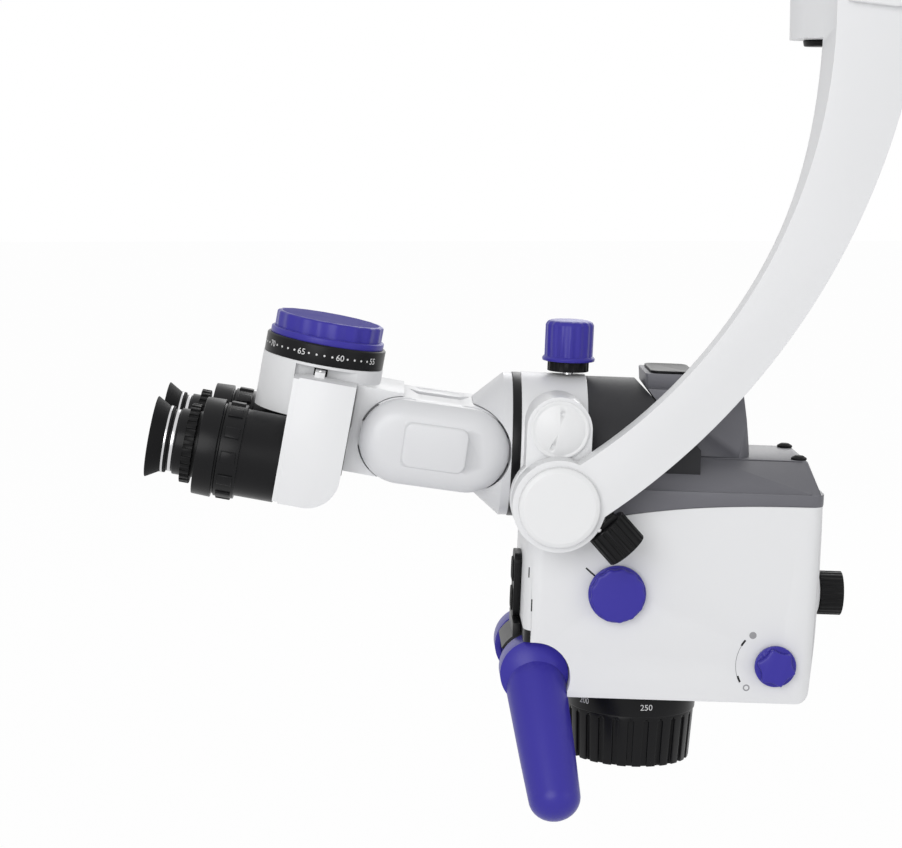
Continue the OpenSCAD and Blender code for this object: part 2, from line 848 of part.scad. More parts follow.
module beam_splitter() {
    color(glass) in_head() translate([optic_x, 0, port_h])
        corner_box([-splitter_w, -splitter_y, -splitter_w], [splitter_w, splitter_y, splitter_w]);
    color(black) in_head() translate([optic_x, 0, 0]) difference() {
        corner_box([-splitter_w, -splitter_y, frame_top],
            [splitter_w, splitter_y, port_h - splitter_w]);
        for (s = [-1, 1]) translate([0, s * beam_y, 0]) z_bar(beam_r, frame_top - over, port_h);
    }
}

camera_front = optic_x + splitter_w + 0.228 * (bridge_back - optic_x - splitter_w);
camera_half = 13;
camera_h = 17;
camera_tube_r = 6;

// Video camera, fed from the back of the splitter
module camera_module() {
    tube_z = camera_h - camera_tube_r - pass_gap;
    color(black) in_head() {
        translate([0, 0, tube_z]) x_bar(camera_tube_r, optic_x + splitter_w, camera_front);
        corner_box([camera_front, -camera_half, frame_top], [bridge_back, camera_half, camera_h]);
    }
}

// Magnification changer

drum_half = frame_y - frame_t - pass_gap;
bore_turns = [0, 60, 120];

module magnification_drum() {
    color(dark_grey) in_head() translate([optic_x, 0, mag_axis[1]]) difference() {
        union() {
            y_bar(drum_r, -drum_half, drum_half);
            y_bar(drum_axle_r, -gear_y - gear_t, gear_y + gear_t);
            for (y = [-gear_y - gear_t, gear_y])
                side_slab(y, y + gear_t) gear_outline(180 + 180 / gear_teeth);
        }
        for (a = bore_turns) rotate([0, a, 0]) for (s = [-1, 1])
            translate([0, s * beam_y, -body_w]) cylinder(r = beam_r, h = 2 * body_w);
    }
}

module drum_lenses() {
    lens_t = 2.5;
    color(glass) in_head() translate([optic_x, 0, mag_axis[1]])
        for (a = [60, 120]) rotate([0, a, 0]) for (s = [-1, 1]) for (e = [-1, 1])
            translate([0, s * beam_y, e * (drum_r - beam_r) - lens_t / 2])
                cylinder(r = beam_r, h = lens_t);
}

// Depth and height of a gear tooth in modules, and its half widths as shares of half a pitch
tooth_depth = 1.25;
tooth_height = 0.9;
tooth_form = [[-tooth_depth, 0.56], [0, 0.38], [tooth_height, 0.16]];

// Outline of one changer gear, with teeth slim enough to leave play: one closed line, whose
// short root lines stand in for the root circle
module gear_outline(turn) {
    step = 180 / gear_teeth;
    rotate(turn) polygon([for (k = [0 : gear_teeth - 1]) for (side = [-1, 1])
        for (p = side < 0 ? tooth_form : [tooth_form[2], tooth_form[1], tooth_form[0]])
            let (r = gear_pitch_r + p[0] * gear_module, a = step * (2 * k + side * p[1]))
                r * [cos(a), sin(a)]]);
}

shaft_stub = 5;
shaft_out = half_w + shaft_stub;
knob_gap = 1;

module changer_shaft() {
    color(steel) in_head() translate([mag_axis[0], 0, mag_axis[1]]) {
        y_bar(mag_shaft_r, -shaft_out, -drum_half - pass_gap);
        side_slab(-gear_y - gear_t, -gear_y) gear_outline(0);
    }
}

module changer_knob() {
    scallops = 13;
    scallop_depth = 0.9;
    rim = 2;
    crown = 0.8;
    color(blue) in_head() translate([mag_axis[0], -half_w - knob_gap, mag_axis[1]])
        rotate([90, 0, 0]) difference() {
            union() {
                linear_extrude(mag_knob_t) 
                    scalloped(mag_knob_r, scallops, mag_knob_r / 5, scallop_depth);
                translate([0, 0, mag_knob_t])
                    cylinder(r1 = mag_knob_r - rim, r2 = mag_knob_r - rim - crown, h = crown);
            }
            translate([0, 0, -over])
                cylinder(r = mag_shaft_r, h = shaft_out - half_w - knob_gap + over);
        }
}

module near_changer_shaft() {
    changer_shaft();
}

module near_changer_knob() {
    changer_knob();
}

module far_changer_shaft() {
    in_far() changer_shaft();
}

module far_changer_knob() {
    in_far() changer_knob();
}

// Light source and filters

lamp_z = -73;
lamp_front = behind_drum(0.41);
lamp_half = 12;
lamp_len = behind_drum(0.59) - lamp_front;
wheel_x = behind_drum(0.336);
wheel_t = 2.5;
mirror_in = 5.5;
mirror_x = optic_x + drum_r - mirror_in;
mirror_half = 8;

// Lamp with cooling fins, its lens and the prism that sends the light down, on one rail
module lamp_module() {
    fins = 6;
    fin_t = 1.4;
    fin_out = 7;
    rail_t = 3;
    lens_t = 2;
    foot = -body_drop - lamp_z + base_t + frame_t;
    mirror_back = mirror_x + mirror_half;
    color(steel) in_head() translate([0, 0, lamp_z]) {
        corner_box([lamp_front, -lamp_half, foot], [lamp_front + lamp_len, lamp_half, lamp_half]);
        for (k = [0 : fins - 1])
            translate([lamp_front + fin_t + k * (lamp_len - 3 * fin_t) / (fins - 1), 0, 0])
                corner_box([0, -lamp_half - fin_out, foot + rail_t],
                    [fin_t, lamp_half + fin_out, lamp_half - over]);
        corner_box([mirror_back, -mirror_half, foot], [lamp_front + over, mirror_half, foot + rail_t]);
        for (y = [-mirror_half - rail_t, mirror_half])
            translate([mirror_x, 0, 0]) side_slab(y, y + rail_t) polygon([
                [-mirror_half, -mirror_half], [mirror_half, mirror_half],
                [mirror_half + rail_t, mirror_half], [mirror_half + rail_t, foot],
                [mirror_half, foot], [mirror_half, -mirror_half]]);
        corner_box([mirror_back, -mirror_half - rail_t, foot],
            [mirror_back + rail_t, mirror_half + rail_t, foot + rail_t]);
    }
    color(glass) in_head() translate([0, 0, lamp_z]) {
        x_bar(lamp_half / 2 + over, lamp_front - lens_t, lamp_front);
        translate([mirror_x, 0, 0]) side_slab(-mirror_half, mirror_half) polygon([
            [-mirror_half, -mirror_half], [mirror_half, mirror_half], [mirror_half, -mirror_half]]);
    }
}

module filter_wheel() {
    windows = 5;
    window_r = 6;
    color(black) in_head() translate([0, 0, filter_z]) {
        difference() {
            x_bar(filter_wheel_r, wheel_x, wheel_x + wheel_t);
            for (k = [0 : windows - 1]) rotate([k * 360 / windows, 0, 0])
                translate([0, 0, lamp_z - filter_z])
                    x_bar(window_r, wheel_x - over, wheel_x + wheel_t + over);
        }
        x_bar(filter_shaft_r, wheel_x + wheel_t, body_back + filter_neck);
    }
}

module filter_knob() {
    ribs = 24;
    rib_width = 0.55;
    rib_height = 0.7;
    color(black) in_head() translate([0, 0, filter_z]) {
        difference() {
            x_bar(filter_shaft_r + filter_collar, body_back + pass_gap * 2 + back_bulge,
                body_back + filter_neck);
            x_bar(filter_shaft_r, 0, body_back + filter_neck + over);
        }
        translate([body_back + filter_neck, 0, 0]) rotate([0, 90, 0])
            linear_extrude(filter_knob_len) toothed(filter_knob_r, ribs, rib_width, rib_height);
    }
}

board_y = half_w * 0.84;
board_t = 1.6;
board_len = 46.5;
board_clear = 8;
board_front = body_back - board_clear - board_len;
board_top = -24;

module control_board() {
    rotor = 6;
    chip_w = 9;
    color(green) in_head() difference() {
        corner_box([board_front, -board_y, -body_drop + base_t],
            [body_back - board_clear, -board_y + board_t, board_top]);
        translate([bright_place[0], 0, bright_place[1]]) y_bar(bright_shaft_r / 2, -body_w, 0);
    }
    color(black) in_head() {
        translate([bright_place[0], 0, bright_place[1]]) difference() {
            y_bar(rotor, -half_w + body_wall, -board_y);
            y_bar(bright_shaft_r + fit_gap, -body_w, 0);
        }
        corner_box([board_front + chip_w, -board_y + board_t, changer_h],
            [board_front + 3 * chip_w, -board_y + 3 * board_t, changer_h + chip_w]);
    }
}

module brightness_knob() {
    scallops = 6;
    scallop_depth = 2.2;
    rim = 0.6;
    skirt_t = 2.5;
    color(blue) in_head() translate([bright_place[0], 0, bright_place[1]]) {
        translate([0, -half_w - pass_gap * 2, 0]) rotate([90, 0, 0]) {
            cylinder(r = bright_knob_r, h = skirt_t);
            translate([0, 0, skirt_t]) linear_extrude(bright_knob_t + over - skirt_t)
                scalloped(bright_knob_r - rim, scallops, bright_knob_r / 2.4, scallop_depth);
        }
        y_bar(bright_shaft_r, -half_w - pass_gap * 2, -board_y - seat_gap);
    }
}

// Front keys

keypad_top = -38;
keypad_foot = -73;
keypad_t = 4;
keypad_rim = 3;
keypad_corner_r = 5;
key_h = 12;
key_corner_r = 4;
key_places = [-48, -64];

module keypad_base() {
    color(black) in_head() difference() {
        front_slab(-body_front - keypad_t, -body_front)
            round_rect([-key_w / 2 - keypad_rim, keypad_foot],
                [key_w / 2 + keypad_rim, keypad_top], keypad_corner_r);
        for (z = key_places) front_slab(-body_front - keypad_t - over, -body_front - keypad_t / 3)
            round_rect([-key_w / 2 - pass_gap, z - key_h / 2 - pass_gap],
                [key_w / 2 + pass_gap, z + key_h / 2 + pass_gap], key_corner_r + pass_gap);
    }
}

module key(z) {
    cap_out = 1;
    color(black) in_head() front_slab(-body_front - keypad_t - cap_out,
        -body_front - keypad_t / 3 - key_travel - seat_gap)
            round_rect([-key_w / 2, z - key_h / 2], [key_w / 2, z + key_h / 2], key_corner_r);
}

module upper_key() {
    key(key_places[0]);
}

module lower_key() {
    key(key_places[1]);
}

collar_h = 5.5;
collar_r = 11.1;
lock_gap = 1.6;

module tube_lock_knob() {
    flange = 2.6;
    flange_out = 1.2;
    flute_depth = 0.6;
    stud_foot = port_h + spigot_r - fit_gap - 2;
    base = port_h + neck_r + lock_gap;
    flutes = 16;
    color(steel) in_head() translate([lock_x, 0, 0]) z_bar(lock_shaft_r, stud_foot, base);
    color(black) in_head() translate([lock_x, 0, 0]) z_bar(collar_r, base, base + collar_h);
    color(blue) in_head() translate([lock_x, 0, base + collar_h]) {
        cylinder(r = lock_knob_r + flange_out, h = flange);
        translate([0, 0, flange]) linear_extrude(lock_knob_h - 2 * flange)
            scalloped(lock_knob_r, flutes, lock_knob_r / 6, flute_depth);
        translate([0, 0, lock_knob_h - flange])
            cylinder(r1 = lock_knob_r - flute_depth, r2 = lock_knob_r - flange, h = flange);
    }
}

// Objective and focus ring

focus_gap = 1.6;
tube_wall = 3;
tube_recess = 3;
lens_bore_r = objective_r - tube_wall;
filter_bore_r = objective_r - 5;
filter_seat = 4;
front_lens_t = 3.2;
tube_foot = -body_drop - focus_drop + tube_recess;
ring_wall_gap = 0.3;
lens_z = -body_drop - 12;
lens_cell_h = 9;

module in_optic() {
    in_head() translate([optic_x, 0, 0]) children();
}

module objective_tube() {
    seat_r = objective_r + tube_wall;
    color(black) in_optic() difference() {
        union() {
            z_bar(objective_r, tube_foot, -body_drop + base_t);
            z_bar(seat_r, -body_drop - focus_gap, -body_drop);
        }
        z_bar(lens_bore_r, tube_foot + filter_seat, -body_drop + base_t + over);
        z_bar(filter_bore_r, tube_foot - over, -body_drop);
    }
}

focus_band = 13;
rib_share = 0.62;
rib_out = 0.6;
rib_depth = 1.3;
ring_chamfer = 1;

module focus_ring() {
    top = -body_drop - focus_gap - ring_wall_gap;
    foot = -body_drop - focus_drop;
    core_r = focus_foot_r + rib_out - rib_depth;
    color(black) in_optic() difference() {
        union() {
            z_bar(focus_top_r, top - focus_band, top);
            translate([0, 0, foot + ring_chamfer])
                linear_extrude(top - focus_band - foot)
                    toothed(focus_foot_r + rib_out, focus_ribs, rib_share, rib_depth);
            translate([0, 0, foot]) cylinder(r1 = core_r - ring_chamfer, r2 = core_r, h = ring_chamfer);
        }
        z_bar(objective_r + ring_wall_gap, foot - over, top + over);
    }
}

module focus_lens() {
    rim = 2;
    cell_r = lens_bore_r - ring_wall_gap;
    color(steel) in_optic() translate([0, 0, lens_z - lens_cell_h]) difference() {
        cylinder(r = cell_r, h = lens_cell_h);
        translate([0, 0, -over]) cylinder(r = cell_r - rim, h = lens_cell_h + 2 * over);
    }
    color(glass) in_optic() z_bar(cell_r - rim, lens_z - lens_cell_h + rim, lens_z - rim);
}

module front_lens() {
    color(glass) in_optic()
        z_bar(lens_bore_r, tube_foot + filter_seat, tube_foot + filter_seat + front_lens_t);
}

// Handles

bracket_r = 13;
bell_gap = 2;
bracket_half = grip_rim_y - bell_gap;
shaft_reach = 7;

module on_grip_axis() {
    in_head() translate([grip_axis[0], 0, grip_axis[1]]) children();
}

grip_shaft_r = 6;

module handle_bracket() {
    front = -body_front - grip_axis[0];
    lip_t = 4;
    lip_h = keypad_foot - grip_axis[1] - over;
    shoulder = 3;
    sunk = 0.4;
    color(black) on_grip_axis() {
        y_bar(bracket_r, -bracket_half, bracket_half);
        y_bar(grip_shaft_r, -grip_rim_y - shaft_reach, grip_rim_y + shaft_reach);
        difference() {
            intersection() {
                corner_box([front + sunk, -half_w, 0], [notch_x, half_w, notch_h]);
                translate([-grip_axis[0], 0, 0]) linear_extrude(notch_h)
                    round_rect([-body_front + sunk, -half_w + sunk],
                        [body_back, half_w - sunk], body_corner_r - sunk);
            }
            for (s = [false, true]) on_side(s) y_bar(grip_bay_r, -body_w, shoulder - bracket_half);
        }
        side_slab(-bracket_half + shoulder, bracket_half - shoulder) intersection() {
            polygon([[0, 0], [-grip_bay_r, grip_bay_r / 2], [front - lip_t, lip_h],
                [front, lip_h], [bracket_r, grip_bay_r]]);
            union() {
                circle(r = grip_bay_r);
                translate([front - lip_t, 0]) square([lip_t, lip_h]);
            }
        }
    }
}

grip_turn = -8.6;
bell_len = 17;
bell_y = grip_rim_y + bell_len;
dome_h = 6;
dome_r = (grip_rim_r * grip_rim_r + dome_h * dome_h) / 2 / dome_h;
stem_inset = 10;
stem_y = grip_rim_y + stem_inset;
stem_start = 8;
hollow_depth = 2;
hollow_wall = 3;

// Grip with its bell over the pivot, drawn for the near side
module grip() {
    stem_end = grip_len - grip_end_r;
    difference() {
        union() {
            y_bar(grip_rim_r, -bell_y, -grip_rim_y);
            intersection() {
                translate([0, dome_r - dome_h - bell_y, 0]) sphere(r = dome_r);
                y_bar(grip_rim_r, -bell_y - dome_h - over, -bell_y);
            }
            translate([0, -stem_y, 0]) rotate([-grip_spread, grip_turn, 0]) mirror([0, 0, 1]) {
                translate([0, 0, stem_start]) sphere(r = grip_root_r);
                translate([0, 0, stem_start])
                    cylinder(r1 = grip_root_r, r2 = grip_end_r, h = stem_end - stem_start);
                translate([0, 0, stem_end]) sphere(r = grip_end_r);
            }
        }
        y_bar(grip_shaft_r + fit_gap, -grip_rim_y - shaft_reach - over, 0);
        y_bar(grip_rim_r - hollow_wall, -grip_rim_y - hollow_depth, -grip_rim_y + over);
    }
}

module near_grip() {
    color(blue) on_grip_axis() grip();
}

module far_grip() {
    color(blue) on_grip_axis() mirror([0, 1, 0]) grip();
}

// Inclinable tube

tube_pivot_x = 46.5;
socket_gap = 0.4;
ear_t = 5.4;
ear_r = 16.9;
ear_root = 3;
core_half = link_w / 2 - ear_t - 2 * pass_gap - seat_gap;
flange_start = neck_front + port_ring_w + seat_gap;
flange_w = 4.6;
mouth = [24.4, 23];
mouth_corner_r = 9;
mouth_x = 3;
rim_wall = 2;
strap_half = 6.5;

module in_tube() {
    in_head() translate([-tube_pivot_x, 0, port_h]) children();
}

module in_link() {
    in_tube() rotate([0, link_pitch, 0]) children();
}

module in_eye() {
    in_link() translate([-link_len, 0, 0]) rotate([0, eye_pitch, 0]) children();
}

// Ear that carries a hinge pin, drawn on both sides, reaching towards +X
module hinge_ears(reach) {
    for (s = [-1, 1]) {
        y0 = s < 0 ? -core_half - pass_gap - ear_t : core_half + pass_gap;
        y_bar(ear_r, y0, y0 + ear_t);
        corner_box([0, y0, -strap_half], [reach, y0 + ear_t, strap_half]);
    }
}

module tube_flange() {
    start = tube_pivot_x - flange_start;
    color(light_grey) in_tube() difference() {
        union() {
            difference() {
                union() {
                    x_bar(tube_flange_r, start - flange_w, start);
                    hull() {
                        x_bar(tube_flange_r, start - flange_w, start - flange_w + seat_gap,
                            $fn = hull_fn * 2);
                        front_slab(mouth_x, mouth_x + seat_gap)
                            round_rect([-mouth[0], -mouth[1]], mouth, mouth_corner_r, $fn = hull_fn);
                    }
                    x_bar(spigot_r, start, start + port_ring_w);
                }
                y_bar(link_r + socket_gap, -body_w, body_w);
            }
            intersection() {
                hinge_ears(link_r + ear_root);
                y_bar(link_r + ear_root, -body_w, body_w);
            }
        }
        y_bar(hinge_pin_r + fit_gap, -body_w, body_w);
        x_bar(port_bore_r - rim_wall, 0, start + port_ring_w + over);
    }
}

module tube_link() {
    flat = link_r - 0.8;
    slab_low = ear_r + pass_gap;
    light_share = 0.8;
    recess_t = 3;
    recess = [[-12, 0], [13, 0], [17, 12], [-17, 12]];
    screw_y = 5;
    screw_r = 1.6;
    screw_t = 1.2;
    color(light_grey) in_link() difference() {
        union() {
            for (x = [0, -link_len]) translate([x, 0, 0]) y_bar(link_r, -core_half, core_half);
            corner_box([-link_len, -core_half, -flat], [0, core_half, flat]);
            intersection() {
                union() {
                    for (x = [0, -link_len]) translate([x, 0, 0]) y_bar(link_r, -link_w / 2, link_w / 2);
                    corner_box([-link_len, -link_w / 2, -flat], [0, link_w / 2, flat]);
                }
                union() {
                    corner_box([-link_len * 2, -link_w / 2, slab_low], [link_len, link_w / 2, link_r]);
                    corner_box([-link_len * 2, -link_w / 2, -link_r], [link_len, link_w / 2, -slab_low]);
                }
            }
        }
        for (s = [-1, 1]) {
            translate([0, s * beam_y * light_share, 0])
                x_bar(beam_r * light_share, -2 * link_len, link_len);
        }
        for (x = [0, -link_len]) translate([x, 0, 0]) y_bar(hinge_pin_r, -body_w, body_w);
        translate([-link_len / 2, 0, flat - recess_t]) linear_extrude(recess_t + over)
            polygon(recess);
    }
    color(steel) in_link() translate([-link_len / 2, screw_y, 0])
        z_bar(screw_r, flat - recess_t, flat - recess_t + screw_t);
}

module link_cheeks() {
    inner = link_w / 2;
    // Steps of the round face: how far each lies inside the edge, and its share of the thickness
    steps = [[0, 0.4], [1.6, 0.62], [5, 0.84], [9.5, 0.94]];
    crown_in = 1.5;
    crown_half = 12;
    crown_edge = 1.5;
    crown_r = 5;
    crown_foot = 0.9;
    color(light_grey) in_link() for (s = [false, true]) on_side(s) {
        hull() for (x = [0, -link_len]) translate([x, 0, 0]) for (p = steps)
            y_bar(cheek_r - p[0], -inner - cheek_t * p[1], -inner, $fn = hull_fn * 2);
        hull() {
            side_slab(-inner - cheek_t * crown_foot, -inner) round_rect(
                [crown_in - link_len, -crown_half], [-crown_in, crown_half], crown_r, $fn = hull_fn);
            side_slab(-inner - cheek_t, -inner) round_rect(
                [crown_in + crown_edge - link_len, crown_edge - crown_half],
                [-crown_in - crown_edge, crown_half - crown_edge], crown_r - 1, $fn = hull_fn);
        }
    }
}

module hinge_pins() {
    pin_foot = core_half * 3 / 4;
    color(steel) in_link() for (x = [0, -link_len]) for (s = [false, true]) on_side(s)
        translate([x, 0, 0]) y_bar(hinge_pin_r, -link_w / 2, -pin_foot);
}

// Eyepiece housing, measured from the left hinge

housing_x = -48.3;
housing_foot = 2.7;
housing_top = 31.8;
lug_top = 24.7;
lug_bottom = -21.5;
lug_start = -27.9;
flat_y = 26;
pocket_left = -61.6;
pocket_right = -27.4;
pocket_top = 30.4;
cavity_r = 25;
cavity_foot = 8;
roof_t = 2.3;
window_half = 3.6;
window_low = 25.4;
rod_places = [-8, 14.5];
light_y = 15;
light_z = -11;
light_r = beam_r * 0.8;
rod_z = 14;
dial_shaft_r = 4;
lug_end = -3;

module eyepiece_housing() {
    color(white) in_eye() difference() {
        union() {
            difference() {
                union() {
                    translate([housing_x, 0, 0]) z_bar(housing_r, housing_foot, housing_top);
                    corner_box([lug_start, -link_w / 2 + pass_gap, lug_bottom],
                        [lug_end, link_w / 2 - pass_gap, lug_top]);
                }
                y_bar(link_r + socket_gap, -body_w, body_w);
            }
            intersection() {
                mirror([1, 0, 0]) hinge_ears(link_r + ear_root);
                y_bar(link_r + ear_root, -body_w, body_w);
            }
        }
        for (s = [-1, 1]) {
            y0 = s < 0 ? -body_w : flat_y;
            corner_box([pocket_left, y0, housing_foot - over],
                [pocket_right, y0 + body_w - flat_y, pocket_top]);
        }
        translate([housing_x, 0, 0]) {
            z_bar(cavity_r, cavity_foot, housing_top - roof_t);
            z_bar(dial_shaft_r + fit_gap, housing_foot - over, housing_top + over);
            for (x = rod_places) translate([x, 0, rod_z]) y_bar(rod_r, -body_w, body_w);
            corner_box([-window_half, -body_w, window_low], [window_half, body_w, housing_top - roof_t]);
        }
        y_bar(hinge_pin_r + fit_gap, -body_w, body_w);
        for (s = [-1, 1]) translate([0, s * light_y, light_z])
            x_bar(light_r, lug_start - over, -link_r / 2);
        y_bar(link_r + socket_gap, -core_half - pass_gap / 2, core_half + pass_gap / 2);
    }
}

module guide_rods() {
    color(steel) in_eye() for (x = rod_places) translate([housing_x + x, 0, rod_z])
        y_bar(rod_r, -rod_reach, rod_reach);
}

ring_z = housing_top + seat_gap;
cam_top = 24.6;
cam_t = 3.6;
cam_r = cavity_r - pass_gap;
follower_y = 14.5;
follower_r = 1.6;
rest_turn = dial_turn * (eye_distance - eye_distance_min) / (eye_distance_max - eye_distance_min);
eye_gain = (eye_distance_max - eye_distance_min) / 2 / dial_turn;

// Spiral slot of the cam: the follower's distance grows evenly with the turn
module spiral_slot(slack) {
    steps = 20;
    run_on = [12, 7];
    low = -rest_turn - run_on[0];
    high = dial_turn - rest_turn + run_on[1];
    polygon([for (side = [1, -1]) for (k = side > 0 ? [0 : steps] : [steps : -1 : 0])
        let (a = low + (high - low) * k / steps)
            (follower_y + eye_gain * a + side * (follower_r + slack)) * [cos(a), -sin(a)]]);
}

module scale_ring() {
    slack = 0.35;
    floor_t = 2.5;
    ring_wall = 6;
    color(black) in_eye() translate([housing_x, 0, 0]) difference() {
        z_bar(scale_ring_r, ring_z, ring_z + scale_ring_h);
        z_bar(scale_ring_r - ring_wall, ring_z + floor_t, ring_z + scale_ring_h + over);
    }
    color(steel) in_eye() translate([housing_x, 0, 0]) {
        z_bar(dial_shaft_r, housing_foot + over, ring_z);
        difference() {
            z_bar(cam_r, cam_top - cam_t, cam_top);
            for (s = [-90, 90]) rotate(s) translate([0, 0, cam_top - cam_t - over])
                linear_extrude(cam_t + 2 * over) spiral_slot(slack);
        }
    }
}

module width_dial() {
    flutes = 18;
    flute_depth = 0.7;
    crown = 2;
    base = ring_z + scale_ring_h;
    color(blue) in_eye() translate([housing_x, 0, base]) {
        linear_extrude(dial_h - crown) scalloped(dial_r, flutes, dial_r / 8, flute_depth);
        translate([0, 0, dial_h - crown])
            cylinder(r1 = dial_r - flute_depth, r2 = dial_r - crown, h = crown);
    }
}

// Carriages and eyepieces, drawn for the near side at rest

eye_z = -21;
carriage_right = -28.3;
carriage_left = -58;
carriage_foot = -40.3;
carriage_top = 26.2;
carriage_step = 1.9;
carriage_out = 54.5;
rod_cover = 1.5;
rod_reach = carriage_out - rod_cover - pass_gap - (eye_distance - eye_distance_min) / 2;
carriage_in = 7;
plate_in = 32;
plate_t = 3;
carriage_corner = 17;
barrel_start = carriage_left - plate_t;
tunnel_r = 12;

module carriage_outline(low, high) {
    polygon(concat([[carriage_left, low], [carriage_left, high], [carriage_right, high]],
        arc_points([carriage_right - carriage_corner, low + carriage_corner],
            carriage_corner, 0, -90, 10)));
}

// Square plate behind the eyepiece, from y0 outwards up to a height
module carriage_flange(y0, high) {
    rim = 0.8;
    side_slab(-carriage_out + rim, -y0) translate([barrel_start, carriage_foot + rim])
        square([plate_t, high - carriage_foot - 2 * rim]);
}

module carriage() {
    arm_low = cam_top + 1.5;
    arm_high = 29;
    arm_half = 2.6;
    arm_root = 9;
    light_x = carriage_left + 10;
    tunnel_end = carriage_right - 5;
    color(white) in_eye() difference() {
        union() {
            side_slab(-carriage_out, -carriage_in) carriage_outline(carriage_foot, carriage_step);
            side_slab(-carriage_out, -plate_in) carriage_outline(carriage_foot, carriage_top);
            carriage_flange(plate_in, carriage_top);
            carriage_flange(carriage_in, carriage_step);
            corner_box([housing_x - arm_half, -plate_in - arm_root, carriage_top - over],
                [housing_x + arm_half, -plate_in, arm_high]);
            corner_box([housing_x - arm_half, -plate_in - over, arm_low],
                [housing_x + arm_half, follower_r - follower_y, arm_high]);
            translate([housing_x, -follower_y, 0])
                z_bar(follower_r, cam_top - cam_t - pass_gap, arm_low + over);
        }
        for (x = rod_places) translate([housing_x + x, 0, rod_z])
            y_bar(rod_r + fit_gap, -carriage_out + rod_cover, 0);
        translate([0, -eye_distance / 2, eye_z]) x_bar(tunnel_r, barrel_start - over, tunnel_end);
        translate([0, -light_y, light_z]) x_bar(light_r, light_x, 0);
    }
}

ring_gap = 0.3;
clamp_ring_len = 10.8;
eyepiece_len = 10;
neck_tube_r = 17.5;
clamp_ring_end = barrel_start - barrel_len - clamp_ring_len;
clamp_groove = 1.3;
eyepiece_end = clamp_ring_end - clamp_groove - eyepiece_len;
dioptre_start = eyepiece_end - 2.2;
dioptre_len = 5;
neck_tube_len = 17;
tube_end = eyepiece_end - neck_tube_len;
tube_tip_r = neck_tube_r - 1.2;
tube_tip = 5.2;
eye_glass_t = 3;
cup_gap = 0.6;
eyecup_start = tube_end + tube_tip - eyecup_travel - cup_gap;

module barrel() {
    bars = 12;
    bar_half = 3;
    bar_inset = 1.5;
    bar_out = 1;
    groove = 2;
    glass_x = tube_end + groove;
    color(black) in_eye() translate([0, -eye_distance / 2, eye_z]) difference() {
        union() {
            x_bar(barrel_r, barrel_start - barrel_len, barrel_start);
            x_bar(clamp_ring_r - bar_out, clamp_ring_end, clamp_ring_end + clamp_ring_len);
            for (k = [0 : bars - 1]) rotate([k * 360 / bars, 0, 0])
                corner_box([clamp_ring_end + bar_inset, -bar_half, 0],
                    [clamp_ring_end + clamp_ring_len - bar_inset, bar_half, clamp_ring_r]);
            x_bar(clamp_ring_r - groove, clamp_ring_end - clamp_groove, clamp_ring_end);
            x_bar(eyepiece_r, eyepiece_end, eyepiece_end + eyepiece_len);
            x_bar(neck_tube_r, tube_end + tube_tip, eyepiece_end);
            x_bar(tube_tip_r, tube_end, eyepiece_end);
        }
        x_bar(tunnel_r, glass_x, barrel_start + over);
        x_bar(tunnel_r + groove, tube_end - over, glass_x);
    }
    color(glass) in_eye() translate([0, -eye_distance / 2, eye_z])
        x_bar(tunnel_r, glass_x, glass_x + eye_glass_t);
}

module dioptre_ring() {
    tooth_share = 0.55;
    tooth_out = 0.9;
    color(black) in_eye() translate([dioptre_start - dioptre_len, -eye_distance / 2, eye_z])
        rotate([0, 90, 0]) linear_extrude(dioptre_len) difference() {
            toothed(dioptre_r, dioptre_teeth, tooth_share, tooth_out);
            circle(r = neck_tube_r + ring_gap);
        }
}

module eyecup() {
    wall = 1.6;
    ledge_t = 1.4;
    cup_inner_r = tube_tip_r + ring_gap;
    cup_root_r = cup_inner_r + 0.9;
    root_len = 1.5;
    ledge_x = tube_end - eyecup_travel - ring_gap;
    mouth_x = tube_end - eyecup_len;
    color(black) in_eye() translate([0, -eye_distance / 2, eye_z]) rotate([0, 90, 0])
        rotate_extrude() polygon([
            [cup_inner_r, eyecup_start], [cup_root_r, eyecup_start], [cup_root_r, tube_end - root_len],
            [eyecup_r, mouth_x], [eyecup_r - wall, mouth_x],
            [tunnel_r, ledge_x - ledge_t], [tunnel_r, ledge_x], [cup_inner_r, ledge_x]]);
}

module near_carriage() {
    carriage();
}

module near_barrel() {
    barrel();
}

module near_dioptre_ring() {
    dioptre_ring();
}

module near_eyecup() {
    eyecup();
}

module far_carriage() {
    in_far() carriage();
}

module far_barrel() {
    in_far() barrel();
}

module far_dioptre_ring() {
    in_far() dioptre_ring();
}

module far_eyecup() {
    in_far() eyecup();
}

// The part is alike on both sides of the plane Y = 0
module in_far() {
    mirror([0, 1, 0]) children();
}

suspension_spindle();
spindle_bearings();
swing_arm();
arm_top_cover();
spindle_cap();
pivot_cap();
tilt_bushing();
clamp_knob();
tilt_axle();
body_shell();
base_plate();
chassis();
rear_cover();
camera_tower();
tower_cap();
front_cover();
neck_block();
arch_cap();
port_ring();
cover_plugs();
beam_splitter();
camera_module();
magnification_drum();
drum_lenses();
near_changer_shaft();
near_changer_knob();
far_changer_shaft();
far_changer_knob();
lamp_module();
filter_wheel();
filter_knob();
control_board();
brightness_knob();
keypad_base();
upper_key();
lower_key();
tube_lock_knob();
objective_tube();
focus_ring();
focus_lens();
front_lens();
handle_bracket();
near_grip();
far_grip();
tube_flange();
tube_link();
link_cheeks();
hinge_pins();
eyepiece_housing();
guide_rods();
width_dial();
scale_ring();
near_carriage();
near_barrel();
near_dioptre_ring();
near_eyecup();
far_carriage();
far_barrel();
far_dioptre_ring();
far_eyecup();
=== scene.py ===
"""Dental microscope head on its swing arm: looks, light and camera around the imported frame."""
import json
import math

import bmesh
import bpy
from mathutils import Matrix, Vector

